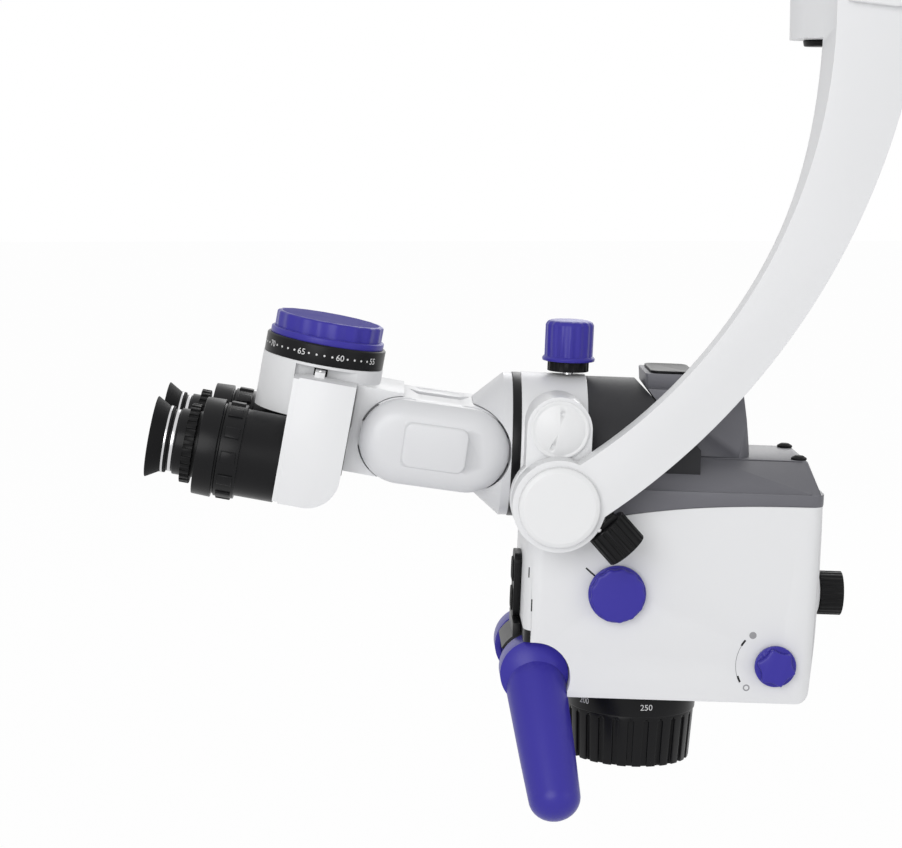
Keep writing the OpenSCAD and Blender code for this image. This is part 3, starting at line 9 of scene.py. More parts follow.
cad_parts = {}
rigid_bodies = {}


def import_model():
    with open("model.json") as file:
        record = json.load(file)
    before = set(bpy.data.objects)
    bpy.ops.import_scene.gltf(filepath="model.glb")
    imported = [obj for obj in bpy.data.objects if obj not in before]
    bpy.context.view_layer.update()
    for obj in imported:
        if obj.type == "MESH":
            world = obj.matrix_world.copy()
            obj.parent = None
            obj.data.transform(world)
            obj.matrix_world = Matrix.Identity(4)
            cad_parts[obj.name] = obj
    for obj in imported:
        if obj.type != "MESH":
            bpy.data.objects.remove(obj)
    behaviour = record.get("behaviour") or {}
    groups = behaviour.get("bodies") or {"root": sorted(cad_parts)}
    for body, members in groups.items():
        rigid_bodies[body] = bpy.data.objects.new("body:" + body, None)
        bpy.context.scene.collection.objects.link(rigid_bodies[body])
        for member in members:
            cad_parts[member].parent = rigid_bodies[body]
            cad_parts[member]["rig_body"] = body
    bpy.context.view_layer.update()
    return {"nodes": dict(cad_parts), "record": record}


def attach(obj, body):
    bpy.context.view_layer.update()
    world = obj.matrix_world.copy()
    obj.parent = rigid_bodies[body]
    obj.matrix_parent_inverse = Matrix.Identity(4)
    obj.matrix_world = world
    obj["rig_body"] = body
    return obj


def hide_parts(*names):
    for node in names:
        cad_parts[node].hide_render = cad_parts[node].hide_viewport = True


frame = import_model()
scene = bpy.context.scene
scene.view_settings.view_transform = "Standard"

# Camera, light and floor

PHOTO_WIDTH = 902
FOCAL_PIXELS = 2308
SENSOR_WIDTH = 36
CAMERA_PLACE = (-0.22849, -1.23153, -0.10036)
CAMERA_PITCH = 7.75
CAMERA_PAN = -1.27
FLOOR_HEIGHT = -0.62
FLOOR_SIZE = 12
FLOOR_GLOW = 0.97
AMBIENT = 0.55

camera = bpy.data.objects.new("camera", bpy.data.cameras.new("camera"))
scene.collection.objects.link(camera)
camera.location = CAMERA_PLACE
camera.rotation_euler = (math.radians(90 - CAMERA_PITCH), 0, math.radians(CAMERA_PAN))
camera.data.sensor_width = SENSOR_WIDTH
camera.data.sensor_fit = "HORIZONTAL"
camera.data.lens = SENSOR_WIDTH * FOCAL_PIXELS / PHOTO_WIDTH
camera.data.clip_start = 0.05
scene.camera = camera


def lamp(name, place, aim, size, power):
    light = bpy.data.lights.new(name, "AREA")
    light.shape = "DISK"
    light.size = size
    light.energy = power
    holder = bpy.data.objects.new(name, light)
    scene.collection.objects.link(holder)
    holder.location = place
    holder.rotation_euler = (Vector(aim) - Vector(place)).to_track_quat("-Z", "Y").to_euler()


MIDDLE = (-0.15, 0, -0.3)
lamp("front_softbox", (-0.75, -1.7, 0.25), MIDDLE, 1.3, 14.3)
lamp("side_softbox", (1.2, -1.0, -0.1), MIDDLE, 0.9, 1.6)
lamp("back_softbox", (0.3, 1.5, 0.5), MIDDLE, 1.2, 7)


def seen_rays(tree):
    """1 for rays that should see plain white: from the camera, off gloss and through glass"""
    path = tree.nodes.new("ShaderNodeLightPath")
    total = path.outputs["Is Camera Ray"]
    for name in ("Is Glossy Ray", "Is Transmission Ray"):
        either = tree.nodes.new("ShaderNodeMath")
        either.operation = "MAXIMUM"
        tree.links.new(total, either.inputs[0])
        tree.links.new(path.outputs[name], either.inputs[1])
        total = either.outputs[0]
    return total


world = bpy.data.worlds.new("studio")
scene.world = world
world.use_nodes = True
tree = world.node_tree
background = tree.nodes["Background"]
background.inputs["Color"].default_value = (1, 1, 1, 1)
strength = tree.nodes.new("ShaderNodeMapRange")
strength.inputs["To Min"].default_value = AMBIENT
tree.links.new(seen_rays(tree), strength.inputs["Value"])
tree.links.new(strength.outputs["Result"], background.inputs["Strength"])

floor_finish = bpy.data.materials.new("pale_floor")
floor_finish.use_nodes = True
tree = floor_finish.node_tree
paint = tree.nodes["Principled BSDF"]
paint.inputs["Base Color"].default_value = (0.82, 0.82, 0.83, 1)
paint.inputs["Roughness"].default_value = 0.9
glow = tree.nodes.new("ShaderNodeEmission")
share = tree.nodes.new("ShaderNodeMath")
share.operation = "MULTIPLY"
share.inputs[1].default_value = FLOOR_GLOW
blend = tree.nodes.new("ShaderNodeMixShader")
tree.links.new(seen_rays(tree), share.inputs[0])
tree.links.new(share.outputs[0], blend.inputs[0])
tree.links.new(paint.outputs[0], blend.inputs[1])
tree.links.new(glow.outputs[0], blend.inputs[2])
tree.links.new(blend.outputs[0], tree.nodes["Material Output"].inputs["Surface"])

bpy.ops.object.select_all(action="DESELECT")
bpy.ops.mesh.primitive_plane_add(size=FLOOR_SIZE, location=(0, 2, FLOOR_HEIGHT))
floor = bpy.context.object
floor.name = "floor"
floor.data.materials.append(floor_finish)

# Effects shared by the finishes


def effect(name, inputs, outputs):
    group = bpy.data.node_groups.new(name, "ShaderNodeTree")
    for kind, in_name, value in inputs:
        socket = group.interface.new_socket(in_name, in_out="INPUT", socket_type=kind)
        socket.default_value = value
    for kind, out_name in outputs:
        group.interface.new_socket(out_name, in_out="OUTPUT", socket_type=kind)
    return group, group.nodes.new("NodeGroupInput"), group.nodes.new("NodeGroupOutput")


def wire(group, *links):
    for source, target in links:
        group.links.new(source, target)


def add(group, kind, **settings):
    node = group.nodes.new(kind)
    for key, value in settings.items():
        if hasattr(node, key):
            setattr(node, key, value)
        else:
            node.inputs[key].default_value = value
    return node


# Grain of paint or moulded plastic: a fine height and a slow change from place to place
grain, g_in, g_out = effect("surface_grain",
    [("NodeSocketFloat", "Size", 0.4), ("NodeSocketFloat", "Patch", 25.0)],
    [("NodeSocketFloat", "Height"), ("NodeSocketFloat", "Variation")])
where = add(grain, "ShaderNodeTexCoord")
per_metre = add(grain, "ShaderNodeMath", operation="DIVIDE")
per_metre.inputs[0].default_value = 1000
fine = add(grain, "ShaderNodeTexNoise", Detail=3, Roughness=0.6)
slow = add(grain, "ShaderNodeTexNoise", Detail=4, Roughness=0.55)
patches = add(grain, "ShaderNodeMath", operation="DIVIDE")
patches.inputs[0].default_value = 1000
wire(grain,
    (g_in.outputs["Size"], per_metre.inputs[1]),
    (g_in.outputs["Patch"], patches.inputs[1]))
for noise, rate in ((fine, per_metre), (slow, patches)):
    wire(grain, (where.outputs["Object"], noise.inputs["Vector"]),
        (rate.outputs[0], noise.inputs["Scale"]))
wire(grain,
    (fine.outputs["Fac"], g_out.inputs["Height"]),
    (slow.outputs["Fac"], g_out.inputs["Variation"]))

# Mask of the outward edges that hands and cloths rub, broken up by a noise
wear, w_in, w_out = effect("edge_wear",
    [("NodeSocketFloat", "Radius", 0.0008), ("NodeSocketFloat", "Amount", 0.5)],
    [("NodeSocketFloat", "Mask")])
round_edge = add(wear, "ShaderNodeBevel", samples=4)
true_face = add(wear, "ShaderNodeNewGeometry")
likeness = add(wear, "ShaderNodeVectorMath", operation="DOT_PRODUCT")
edge = add(wear, "ShaderNodeMapRange")
edge.inputs["From Min"].default_value = 0.995
edge.inputs["From Max"].default_value = 0.86
where = add(wear, "ShaderNodeTexCoord")
broken = add(wear, "ShaderNodeTexNoise", Scale=300.0, Detail=3)
torn = add(wear, "ShaderNodeMath", operation="MULTIPLY")
much = add(wear, "ShaderNodeMath", operation="MULTIPLY", use_clamp=True)
wire(wear,
    (w_in.outputs["Radius"], round_edge.inputs["Radius"]),
    (round_edge.outputs[0], likeness.inputs[0]),
    (true_face.outputs["Normal"], likeness.inputs[1]),
    (likeness.outputs["Value"], edge.inputs["Value"]),
    (where.outputs["Object"], broken.inputs["Vector"]),
    (edge.outputs["Result"], torn.inputs[0]),
    (broken.outputs["Fac"], torn.inputs[1]),
    (torn.outputs[0], much.inputs[0]),
    (w_in.outputs["Amount"], much.inputs[1]),
    (much.outputs[0], w_out.inputs["Mask"]))

# Thin film of dust on the faces that look up
dust, d_in, d_out = effect("settled_dust",
    [("NodeSocketFloat", "Amount", 0.2)], [("NodeSocketFloat", "Mask")])
up = add(dust, "ShaderNodeSeparateXYZ")
true_face = add(dust, "ShaderNodeNewGeometry")
upward = add(dust, "ShaderNodeMapRange")
upward.inputs["From Min"].default_value = 0.45
where = add(dust, "ShaderNodeTexCoord")
drift = add(dust, "ShaderNodeTexNoise", Scale=60.0, Detail=5)
lying = add(dust, "ShaderNodeMath", operation="MULTIPLY")
much = add(dust, "ShaderNodeMath", operation="MULTIPLY", use_clamp=True)
wire(dust,
    (true_face.outputs["Normal"], up.inputs[0]),
    (up.outputs["Z"], upward.inputs["Value"]),
    (where.outputs["Object"], drift.inputs["Vector"]),
    (upward.outputs["Result"], lying.inputs[0]),
    (drift.outputs["Fac"], lying.inputs[1]),
    (lying.outputs[0], much.inputs[0]),
    (d_in.outputs["Amount"], much.inputs[1]),
    (much.outputs[0], d_out.inputs["Mask"]))

# Fine lines that turning or brushing leaves on metal, drawn along the chosen stretch
lines, l_in, l_out = effect("tool_lines",
    [("NodeSocketVector", "Stretch", (40.0, 4000.0, 4000.0))], [("NodeSocketFloat", "Height")])
where = add(lines, "ShaderNodeTexCoord")
drawn = add(lines, "ShaderNodeVectorMath", operation="MULTIPLY")
hair = add(lines, "ShaderNodeTexNoise", Scale=1.0, Detail=4)
wire(lines,
    (where.outputs["Object"], drawn.inputs[0]),
    (l_in.outputs["Stretch"], drawn.inputs[1]),
    (drawn.outputs[0], hair.inputs["Vector"]),
    (hair.outputs["Fac"], l_out.inputs["Height"]))

# Finishes: MM is a millimetre in metres and the worn edge is in metres

MM = 0.001
PATCH_MM = 60.0
WORN_EDGE = 0.0007
COAT_ROUGHNESS = 0.15
DUST_COLOUR = (0.55, 0.55, 0.54)
finishes = {}


def mixed(tree, factor, first, second):
    """Mix node of two colours by a mask"""
    node = tree.nodes.new("ShaderNodeMix")
    node.data_type = "RGBA"
    tree.links.new(factor, node.inputs["Factor"])
    for socket, value in ((node.inputs["A"], first), (node.inputs["B"], second)):
        if hasattr(value, "links"):
            tree.links.new(value, socket)
        else:
            socket.default_value = (*value, 1)
    return node


def ranged(tree, source, low, high):
    node = tree.nodes.new("ShaderNodeMapRange")
    tree.links.new(source, node.inputs["Value"])
    node.inputs["To Min"].default_value = low
    node.inputs["To Max"].default_value = high
    return node.outputs["Result"]


def place(tree, group, **values):
    node = tree.nodes.new("ShaderNodeGroup")
    node.node_tree = group
    for key, value in values.items():
        node.inputs[key].default_value = value
    return node


def finish(name, colour, rough, metal=0.0, coat=0.0, size=0.5, depth=0.02, shift=0.04, worn=None,
        wear_amount=0.5, dusty=0.1, lined=None, rough_shift=0.08, specular=0.5):
    """Makes a finish: colour, grain of a size and depth in mm, worn edges, dust and tool lines"""
    material = bpy.data.materials.new(name)
    material.use_nodes = True
    tree = material.node_tree
    shader = tree.nodes["Principled BSDF"]
    for key, value in (("Metallic", metal), ("Coat Weight", coat), ("Coat Roughness", COAT_ROUGHNESS),
            ("Specular IOR Level", specular)):
        shader.inputs[key].default_value = value
    skin = place(tree, grain, Size=size, Patch=PATCH_MM)
    rubbed = place(tree, wear, Radius=WORN_EDGE, Amount=wear_amount)
    film = place(tree, dust, Amount=dusty)
    darker = tuple(c * (1 - shift) for c in colour)
    lighter = tuple(min(1, c * (1 + shift)) for c in colour)
    body = mixed(tree, skin.outputs["Variation"], darker, lighter)
    edged = mixed(tree, rubbed.outputs["Mask"], body.outputs["Result"], worn or lighter)
    dusted = mixed(tree, film.outputs["Mask"], edged.outputs["Result"], DUST_COLOUR)
    tree.links.new(dusted.outputs["Result"], shader.inputs["Base Color"])
    low, high = max(0.02, rough - rough_shift), min(1.0, rough + rough_shift)
    tree.links.new(ranged(tree, skin.outputs["Variation"], low, high), shader.inputs["Roughness"])
    bump = tree.nodes.new("ShaderNodeBump")
    bump.inputs["Distance"].default_value = depth * MM
    height = skin.outputs["Height"]
    if lined:
        drawn = place(tree, lines, Stretch=lined)
        height = drawn.outputs["Height"]
    tree.links.new(height, bump.inputs["Height"])
    tree.links.new(bump.outputs["Normal"], shader.inputs["Normal"])
    finishes[name] = material
    return shader


WHITE = (0.78, 0.785, 0.795)
finish("painted_white", WHITE, 0.42, coat=0.12, size=0.9, depth=0.012,
    shift=0.012, worn=(0.84, 0.845, 0.85), dusty=0.05)
finish("white_plastic", (0.80, 0.805, 0.81), 0.38, size=0.5, depth=0.01,
    shift=0.012, worn=(0.85, 0.85, 0.86), dusty=0.05)
# painted_grey is the body's white paint made a little darker: painted shade for the tube parts, which carry
# the same paint
finish("painted_grey", (0.70, 0.705, 0.72), 0.36, coat=0.15, size=0.8,
    depth=0.012, shift=0.015, worn=(0.76, 0.765, 0.78), dusty=0.05)
finish("cover_grey", (0.146, 0.146, 0.163), 0.45, size=0.35, depth=0.05,
    shift=0.10, worn=(0.26, 0.26, 0.29), dusty=0.08, specular=0.35)
finish("cover_dark", (0.026, 0.026, 0.029), 0.5, size=0.35, depth=0.04,
    shift=0.12, worn=(0.07, 0.07, 0.08), dusty=0.05, specular=0.25)
finish("black_plastic", (0.006, 0.006, 0.0065), 0.42, size=0.4, depth=0.03,
    shift=0.15, worn=(0.03, 0.03, 0.032), dusty=0.02, specular=0.14)
finish("black_metal", (0.006, 0.006, 0.0068), 0.33, size=0.25, depth=0.012,
    shift=0.15, worn=(0.05, 0.05, 0.053), wear_amount=0.6, dusty=0.02, specular=0.17)
finish("black_rubber", (0.009, 0.009, 0.0095), 0.62, size=0.3, depth=0.03,
    shift=0.2, worn=(0.03, 0.03, 0.03), dusty=0.04, specular=0.1)
finish("blue_plastic", (0.038, 0.029, 0.325), 0.36, size=0.45, depth=0.02,
    shift=0.05, worn=(0.09, 0.075, 0.44), dusty=0.02, specular=0.3)
finish("steel", (0.62, 0.62, 0.63), 0.25, metal=1.0, depth=0.004, shift=0.05,
    worn=(0.8, 0.8, 0.8), dusty=0.02, lined=(60.0, 4000.0, 4000.0))
finish("bronze", (0.55, 0.36, 0.16), 0.35, metal=1.0, depth=0.006, shift=0.08,
    worn=(0.75, 0.55, 0.3), dusty=0.02)
finish("aluminium", (0.70, 0.71, 0.72), 0.35, metal=1.0, depth=0.005,
    shift=0.04, worn=(0.85, 0.85, 0.86), dusty=0.03, lined=(50.0, 3000.0, 3000.0))
finish("board_green", (0.02, 0.14, 0.05), 0.4, size=1.5, depth=0.02,
    shift=0.2, worn=(0.2, 0.35, 0.2), dusty=0.05)
finish("white_print", (0.72, 0.72, 0.72), 0.5, size=0.2, depth=0.005,
    shift=0.05, dusty=0.0)
finish("grey_print", (0.30, 0.30, 0.31), 0.5, size=0.2, depth=0.005,
    shift=0.05, dusty=0.0)
# Dark ink of the printed marks, also used as painted shade on flat strips that stand in for slots and slits
finish("dark_print", (0.02, 0.02, 0.022), 0.6, size=0.2, depth=0.005,
    shift=0.05, dusty=0.0, specular=0.1)
finish("dull_blue", (0.045, 0.036, 0.30), 0.7, size=0.45, depth=0.02,
    shift=0.06, worn=(0.09, 0.075, 0.40), dusty=0.1, specular=0.08)

shader = finish("lens_glass", (0.92, 0.95, 0.97), 0.04, size=4.0, depth=0.001, shift=0.01,
    wear_amount=0.0, dusty=0.01, rough_shift=0.02)
shader.inputs["Transmission Weight"].default_value = 0.9
shader.inputs["IOR"].default_value = 1.5

# Places: pieces are modelled in millimetres in the frame of what carries them, and only copies
# of CAD nodes are in metres


def moved(x, y, z):
    return Matrix.Translation((x, y, z))


def tilted(degrees, axis="Y"):
    return Matrix.Rotation(math.radians(degrees), 4, axis)


ARM_REACH, ARM_DROP = 148, 300
HEAD_PITCH, LINK_PITCH, EYE_PITCH = 2.2, 6, 2.4
PORT_HEIGHT = 20.5
OPTIC_X = 49.5
GRIP_PIVOT = (-6.5, -96)
HINGE_X = -46.5
LINK_LENGTH = 34.5
CLAMP_PLACE, CLAMP_PITCH = (24.4, -70.5, -11.4), 90 + 48.7
MOUNT = Matrix.Scale(MM, 4)
PIVOT = MOUNT @ moved(-ARM_REACH, 0, -ARM_DROP)
HEAD = PIVOT @ tilted(HEAD_PITCH)
OPTIC = HEAD @ moved(OPTIC_X, 0, 0)
GRIPS = HEAD @ moved(GRIP_PIVOT[0], 0, GRIP_PIVOT[1])
TUBE = HEAD @ moved(HINGE_X, 0, PORT_HEIGHT)
LINK = TUBE @ tilted(LINK_PITCH)
EYES = LINK @ moved(-LINK_LENGTH, 0, 0) @ tilted(EYE_PITCH)
CLAMP = PIVOT @ moved(*CLAMP_PLACE) @ tilted(CLAMP_PITCH)
NEAR, FAR = 1, -1
FACING_NEAR = tilted(90, "X")
ALONG_X = tilted(90, "Y")

# Modelling tools: each starts or shapes the piece in edit mode

WELD_GAP = 0.0005
FLAT_ANGLE = math.radians(0.2)
CAD_FLAT_ANGLE = math.radians(1.0)
CAD_EDGE_ANGLE = math.radians(30)


def object_mode():
    if bpy.context.mode != "OBJECT":
        bpy.ops.object.mode_set(mode="OBJECT")


def only(piece):
    object_mode()
    bpy.ops.object.select_all(action="DESELECT")
    piece.select_set(True)
    bpy.context.view_layer.objects.active = piece


def edit(piece):
    only(piece)
    bpy.ops.object.mode_set(mode="EDIT")


def begin(name):
    """Names the primitive that was just added and opens it for editing"""
    piece = bpy.context.object
    piece.name = name
    bpy.ops.object.transform_apply(location=True, rotation=True, scale=True)
    bpy.ops.object.mode_set(mode="EDIT")
    bpy.ops.mesh.select_mode(type="VERT")
    return piece


def clear():
    object_mode()
    bpy.ops.object.select_all(action="DESELECT")


def block(name, low, high):
    clear()
    size = [b - a for a, b in zip(low, high)]
    centre = [(a + b) / 2 for a, b in zip(low, high)]
    bpy.ops.mesh.primitive_cube_add(size=1, location=centre, scale=size)
    return begin(name)


def round_bar(name, r, start, end, along="Z", centre=(0, 0), sides=64):
    """Round bar along an axis, between two places on it, about a centre in the other two"""
    clear()
    low, high = min(start, end), max(start, end)
    turn = {"Z": (0, 0, 0), "X": (0, math.pi / 2, 0), "Y": (-math.pi / 2, 0, 0)}[along]
    half = (low + high) / 2
    spot = {"Z": (centre[0], centre[1], half), "X": (half, centre[0], centre[1]),
        "Y": (centre[0], half, centre[1])}[along]
    bpy.ops.mesh.primitive_cone_add(vertices=sides, radius1=r, radius2=r, depth=high - low,
        location=spot, rotation=turn)
    return begin(name)


def pick(kind, test):
    """Selects the faces, edges or vertices whose middle or normal passes a test"""
    bpy.ops.mesh.select_mode(type={"faces": "FACE", "edges": "EDGE", "verts": "VERT"}[kind])
    bpy.ops.mesh.select_all(action="DESELECT")
    piece = bpy.context.object
    mesh = bmesh.from_edit_mesh(piece.data)
    mesh.normal_update()
    for part in getattr(mesh, kind):
        if test(part):
            part.select_set(True)
    mesh.select_flush_mode()
    bmesh.update_edit_mesh(piece.data)


def middle(part):
    return sum((v.co for v in part.verts), Vector()) / len(part.verts)


def looks_up(face):
    return face.normal.z > 0.9


def take_all():
    bpy.ops.mesh.select_all(action="SELECT")


def slide(value):
    bpy.ops.transform.translate(value=value)


def grow(value):
    bpy.ops.transform.resize(value=value, center_override=(0, 0, 0))


def bevel(width, segments):
    bpy.ops.mesh.bevel(offset=width, segments=segments, profile=0.5, clamp_overlap=True,
        affect="EDGES")


def inset(width, depth=0.0):
    bpy.ops.mesh.inset(thickness=width, depth=depth)


def raise_faces(value):
    bpy.ops.mesh.extrude_region_move(TRANSFORM_OT_translate={"value": value})


def slice_off(point, normal, keep_both=False):
    """Cuts the whole piece by a plane and drops what lies on the side of its normal"""
    take_all()
    bpy.ops.mesh.bisect(plane_co=point, plane_no=normal, use_fill=not keep_both,
        clear_outer=not keep_both)


def outwards():
    take_all()
    bpy.ops.mesh.remove_doubles(threshold=WELD_GAP)
    bpy.ops.mesh.normals_make_consistent(inside=False)


def softened(points, radius, closed=True, steps=3):
    """An outline with its corners rounded"""
    out = []
    for k, here in enumerate(points):
        if not closed and k in (0, len(points) - 1):
            out.append(Vector(here))
            continue
        here = Vector(here)
        back, on = Vector(points[k - 1]) - here, Vector(points[(k + 1) % len(points)]) - here
        opening = back.angle(on)
        if opening > math.radians(168) or radius <= 0:
            out.append(here)
            continue
        run = min(radius / math.tan(opening / 2), 0.45 * back.length, 0.45 * on.length)
        first, last = here + back.normalized() * run, here + on.normalized() * run
        for s in range(steps + 1):
            t = s / steps
            out.append(first * (1 - t) ** 2 + here * 2 * t * (1 - t) + last * t ** 2)
    return out


def arc(centre, r, start, end, steps=12):
    turns = [math.radians(start + (end - start) * k / steps) for k in range(steps + 1)]
    return [(centre[0] + r * math.cos(a), centre[1] + r * math.sin(a)) for a in turns]


def traced(name, points, closed):
    """A line drawn from a single vertex by extruding it from point to point"""
    clear()
    bpy.ops.mesh.primitive_plane_add(size=0.1)
    piece = begin(name)
    bpy.ops.mesh.merge(type="CENTER")
    slide(points[0])
    for here, there in zip(points, points[1:]):
        step = [b - a for a, b in zip(here, there)]
        bpy.ops.mesh.extrude_region_move(TRANSFORM_OT_translate={"value": step})
    take_all()
    if closed:
        bpy.ops.mesh.edge_face_add()
    return piece


def turned(name, profile, along="X", centre=(0, 0), sides=72, closed=False):
    """A lathe piece from pairs of place and radius; a closed profile makes a ring"""
    spot = {"X": lambda a, r: (a, centre[0], centre[1] + r),
        "Z": lambda a, r: (centre[0] + r, centre[1], a),
        "Y": lambda a, r: (centre[0] + r, a, centre[1])}[along]
    line = [spot(a, r) for a, r in profile]
    if closed:
        line.append(line[0])
    piece = traced(name, line, False)
    pivot = {"X": (0, *centre), "Z": (*centre, 0), "Y": (centre[0], 0, centre[1])}[along]
    axis = {"X": (1, 0, 0), "Z": (0, 0, 1), "Y": (0, 1, 0)}[along]
    bpy.ops.mesh.spin(steps=sides, angle=2 * math.pi, center=pivot, axis=axis, use_auto_merge=True)
    outwards()
    return piece


def plate(name, outline, low, high, across="Y"):
    """An outline given a thickness across it: X and Z for Y, Y and Z for X, X and Y for Z"""
    spot = {"Y": lambda a, b: (a, low, b), "X": lambda a, b: (low, a, b),
        "Z": lambda a, b: (a, b, low)}[across]
    piece = traced(name, [spot(a, b) for a, b in outline], True)
    rise = {"Y": (0, high - low, 0), "X": (high - low, 0, 0), "Z": (0, 0, high - low)}[across]
    raise_faces(rise)
    outwards()
    return piece


def modifier(piece, kind, **settings):
    only(piece)
    change = piece.modifiers.new(kind.lower(), kind)
    for key, value in settings.items():
        setattr(change, key, value)
    bpy.ops.object.modifier_apply(modifier=change.name)


def combine(piece, other, how):
    """Adds or cuts away another piece, which is used up"""
    object_mode()
    modifier(piece, "BOOLEAN", operation=how, object=other, solver="EXACT")
    bpy.data.meshes.remove(other.data)
    edit(piece)
    return piece


def joined(piece, *others):
    for other in others:
        combine(piece, other, "UNION")
    return piece


def carved(piece, *others):
    for other in others:
        combine(piece, other, "DIFFERENCE")
    return piece


def round_edges(piece, width, segments=2, angle=32):
    """Merges flat faces, then rounds every edge sharper than an angle"""
    edit(piece)
    take_all()
    bpy.ops.mesh.remove_doubles(threshold=WELD_GAP)
    bpy.ops.mesh.dissolve_limited(angle_limit=FLAT_ANGLE)
    modifier(piece, "BEVEL", width=width, segments=segments, limit_method="ANGLE",
        angle_limit=math.radians(angle), use_clamp_overlap=True)
    edit(piece)
    return piece


def gather(piece, *others):
    """Makes several loose solids one piece"""
    only(piece)
    for other in others:
        other.select_set(True)
    bpy.ops.object.join()
    edit(piece)
    return piece


def copied(piece, name, step=None):
    """A copy with its own mesh, moved or turned by a matrix"""
    object_mode()
    twin = piece.copy()
    twin.data = piece.data.copy()
    twin.name = name
    scene.collection.objects.link(twin)
    edit(twin)
    if step is not None:
        take_all()
        object_mode()
        twin.data.transform(step)
        edit(twin)
        if step.determinant() < 0:
            outwards()
    return twin


def settle(piece, place, body, look, replaced=None, angle=35, flat=False):
    """Moves a finished piece to its place, gives it its look and body, and hides what it stands for"""
    only(piece)
    piece.matrix_world = place @ piece.matrix_world
    bpy.ops.object.transform_apply(location=True, rotation=True, scale=True)
    if not flat:
        modifier(piece, "WEIGHTED_NORMAL", keep_sharp=True, weight=60)
        bpy.ops.object.shade_smooth_by_angle(angle=math.radians(angle))
    piece.data.materials.clear()
    piece.data.materials.append(finishes[look])
    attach(piece, body)
    if replaced:
        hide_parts(replaced)


def body_of(node):
    return frame["nodes"][node]["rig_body"]


def rounded_solid(node, width):
    """A copy of a CAD node with its loose triangles merged and its edges rounded, in metres"""
    clear()
    piece = bpy.data.objects.new(node + "_skin", frame["nodes"][node].data.copy())
    scene.collection.objects.link(piece)
    edit(piece)
    take_all()
    bpy.ops.mesh.remove_doubles(threshold=0.01 * MM)
    bpy.ops.mesh.dissolve_limited(angle_limit=CAD_FLAT_ANGLE)
    modifier(piece, "BEVEL", width=width * MM, segments=2, limit_method="ANGLE",
        angle_limit=CAD_EDGE_ANGLE, use_clamp_overlap=True)
    edit(piece)
    return piece


def round_rect(low, high, r):
    """Points round a rectangle with round corners"""
    corners = ((high[0], high[1], 0), (low[0], high[1], 90), (low[0], low[1], 180),
        (high[0], low[1], 270))
    points = []
    for x, y, turn in corners:
        inner = (x + (r if turn in (90, 180) else -r), y + (r if turn in (180, 270) else -r))
        points += arc(inner, r, turn, turn + 90, 8)
    return points


slot_of = {part["node"]: part["material_slot"] for part in frame["record"]["subparts"]}
for name, node in frame["nodes"].items():
    node.data.materials.clear()
    node.data.materials.append(finishes[slot_of[name]])

# Swing arm and suspension

ARM_FACE, ARM_BACK, ARM_ROOT = -78, -63, -42
INNER, INNER_R = (-133.5, 249.2), 269.6
OUTER, OUTER_R = (-175.7, 291), 357
DISC_R, HUB_R, BEARING_R, CAP_R = 23.7, 22, 17, 20.8
HUB_FOOT, HUB_TOP = -63.8, -6.5
ARM_TOP = ARM_DROP + HUB_TOP
HUB = (ARM_REACH, 0)
COVER_SCREW_X, COVER_SCREW_HEIGHTS = 165, (258, ARM_TOP - 8)


def bearing_of(point):
    return math.degrees(math.atan2(point[1], point[0]))


inner_edge = arc(INNER, INNER_R, -57.75, 9.46, 36)
outer_edge = arc(OUTER, OUTER_R, 0.4, -56.15, 44)
disc_edge = arc((0, 0), DISC_R, bearing_of(outer_edge[-1]), bearing_of(inner_edge[0]) - 360, 64)
arm = plate("swing_arm_shell", inner_edge + outer_edge + disc_edge[1:-1], ARM_FACE, ARM_ROOT)
swell = [(ARM_BACK, -60), (ARM_BACK, 116)]
swell += [(ARM_BACK + 21 * (0.5 - 0.5 * math.cos(math.pi * k / 10)), 118 + 120 * k / 10)
    for k in range(11)]
hollow = plate("hollow", swell + [(ARM_ROOT + 0.1, 320), (0, 320), (0, -60)], -60, 200, "X")
carved(arm, hollow)
round_edges(arm, 2.6, 4, 40)
hub = joined(round_bar("hub", HUB_R, HUB_FOOT + ARM_DROP, ARM_TOP, "Z", HUB, 96),
    block("neck", (ARM_REACH - HUB_R, -43, HUB_FOOT + ARM_DROP), (ARM_REACH + HUB_R, 0, ARM_TOP)))
joined(arm, hub)
carved(arm, round_bar("bearing_bore", BEARING_R, HUB_FOOT + ARM_DROP + 6, ARM_TOP + 1, "Z", HUB, 64))
settle(arm, PIVOT, "arm", "painted_white", "swing_arm")

cover = plate("arm_cover_plate", [(141, 253), (165, 250), (182, 253), (182, ARM_TOP), (141, ARM_TOP)],
    ARM_FACE - 6, ARM_FACE)
round_edges(cover, 1.0, 3)
for height in COVER_SCREW_HEIGHTS:
    carved(cover, round_bar("well", 3.2, ARM_FACE - 7, ARM_FACE - 3.5, "Y", (COVER_SCREW_X, height), 32))
settle(cover, PIVOT, "arm", "white_plastic", "arm_top_cover")


def socket_screw(name, r, height):
    """Screw head with a hex socket, standing on Z = 0"""
    piece = round_bar(name, r, 0, height, "Z", sides=32)
    pick("faces", looks_up)
    inset(r * 0.12)
    well = round_bar("well", r * 0.5, height * 0.35, height + 1, "Z", sides=6)
    carved(piece, well)
    round_edges(piece, r * 0.09, 2)
    return piece


for k, height in enumerate(COVER_SCREW_HEIGHTS):
    screw = socket_screw(f"cover_screw_{k}", 2.6, 2.4)
    settle(screw, PIVOT @ moved(COVER_SCREW_X, ARM_FACE - 3.4, height) @ FACING_NEAR, "arm", "steel")

cap = turned("spindle_cover", softened([(HUB_FOOT, 0), (HUB_FOOT, 15), (HUB_FOOT - 3.4, 14.4),
    (HUB_FOOT - 3.4, 0)], 0.9, False), "Z")
settle(cap, MOUNT, "arm", "black_plastic", "spindle_cap")
for k, place_y in enumerate((8.5, -8.5)):
    screw = socket_screw(f"spindle_screw_{k}", 2.4, 1.2)
    settle(screw, MOUNT @ moved(0, place_y, HUB_FOOT - 3.3) @ tilted(180), "arm", "steel")

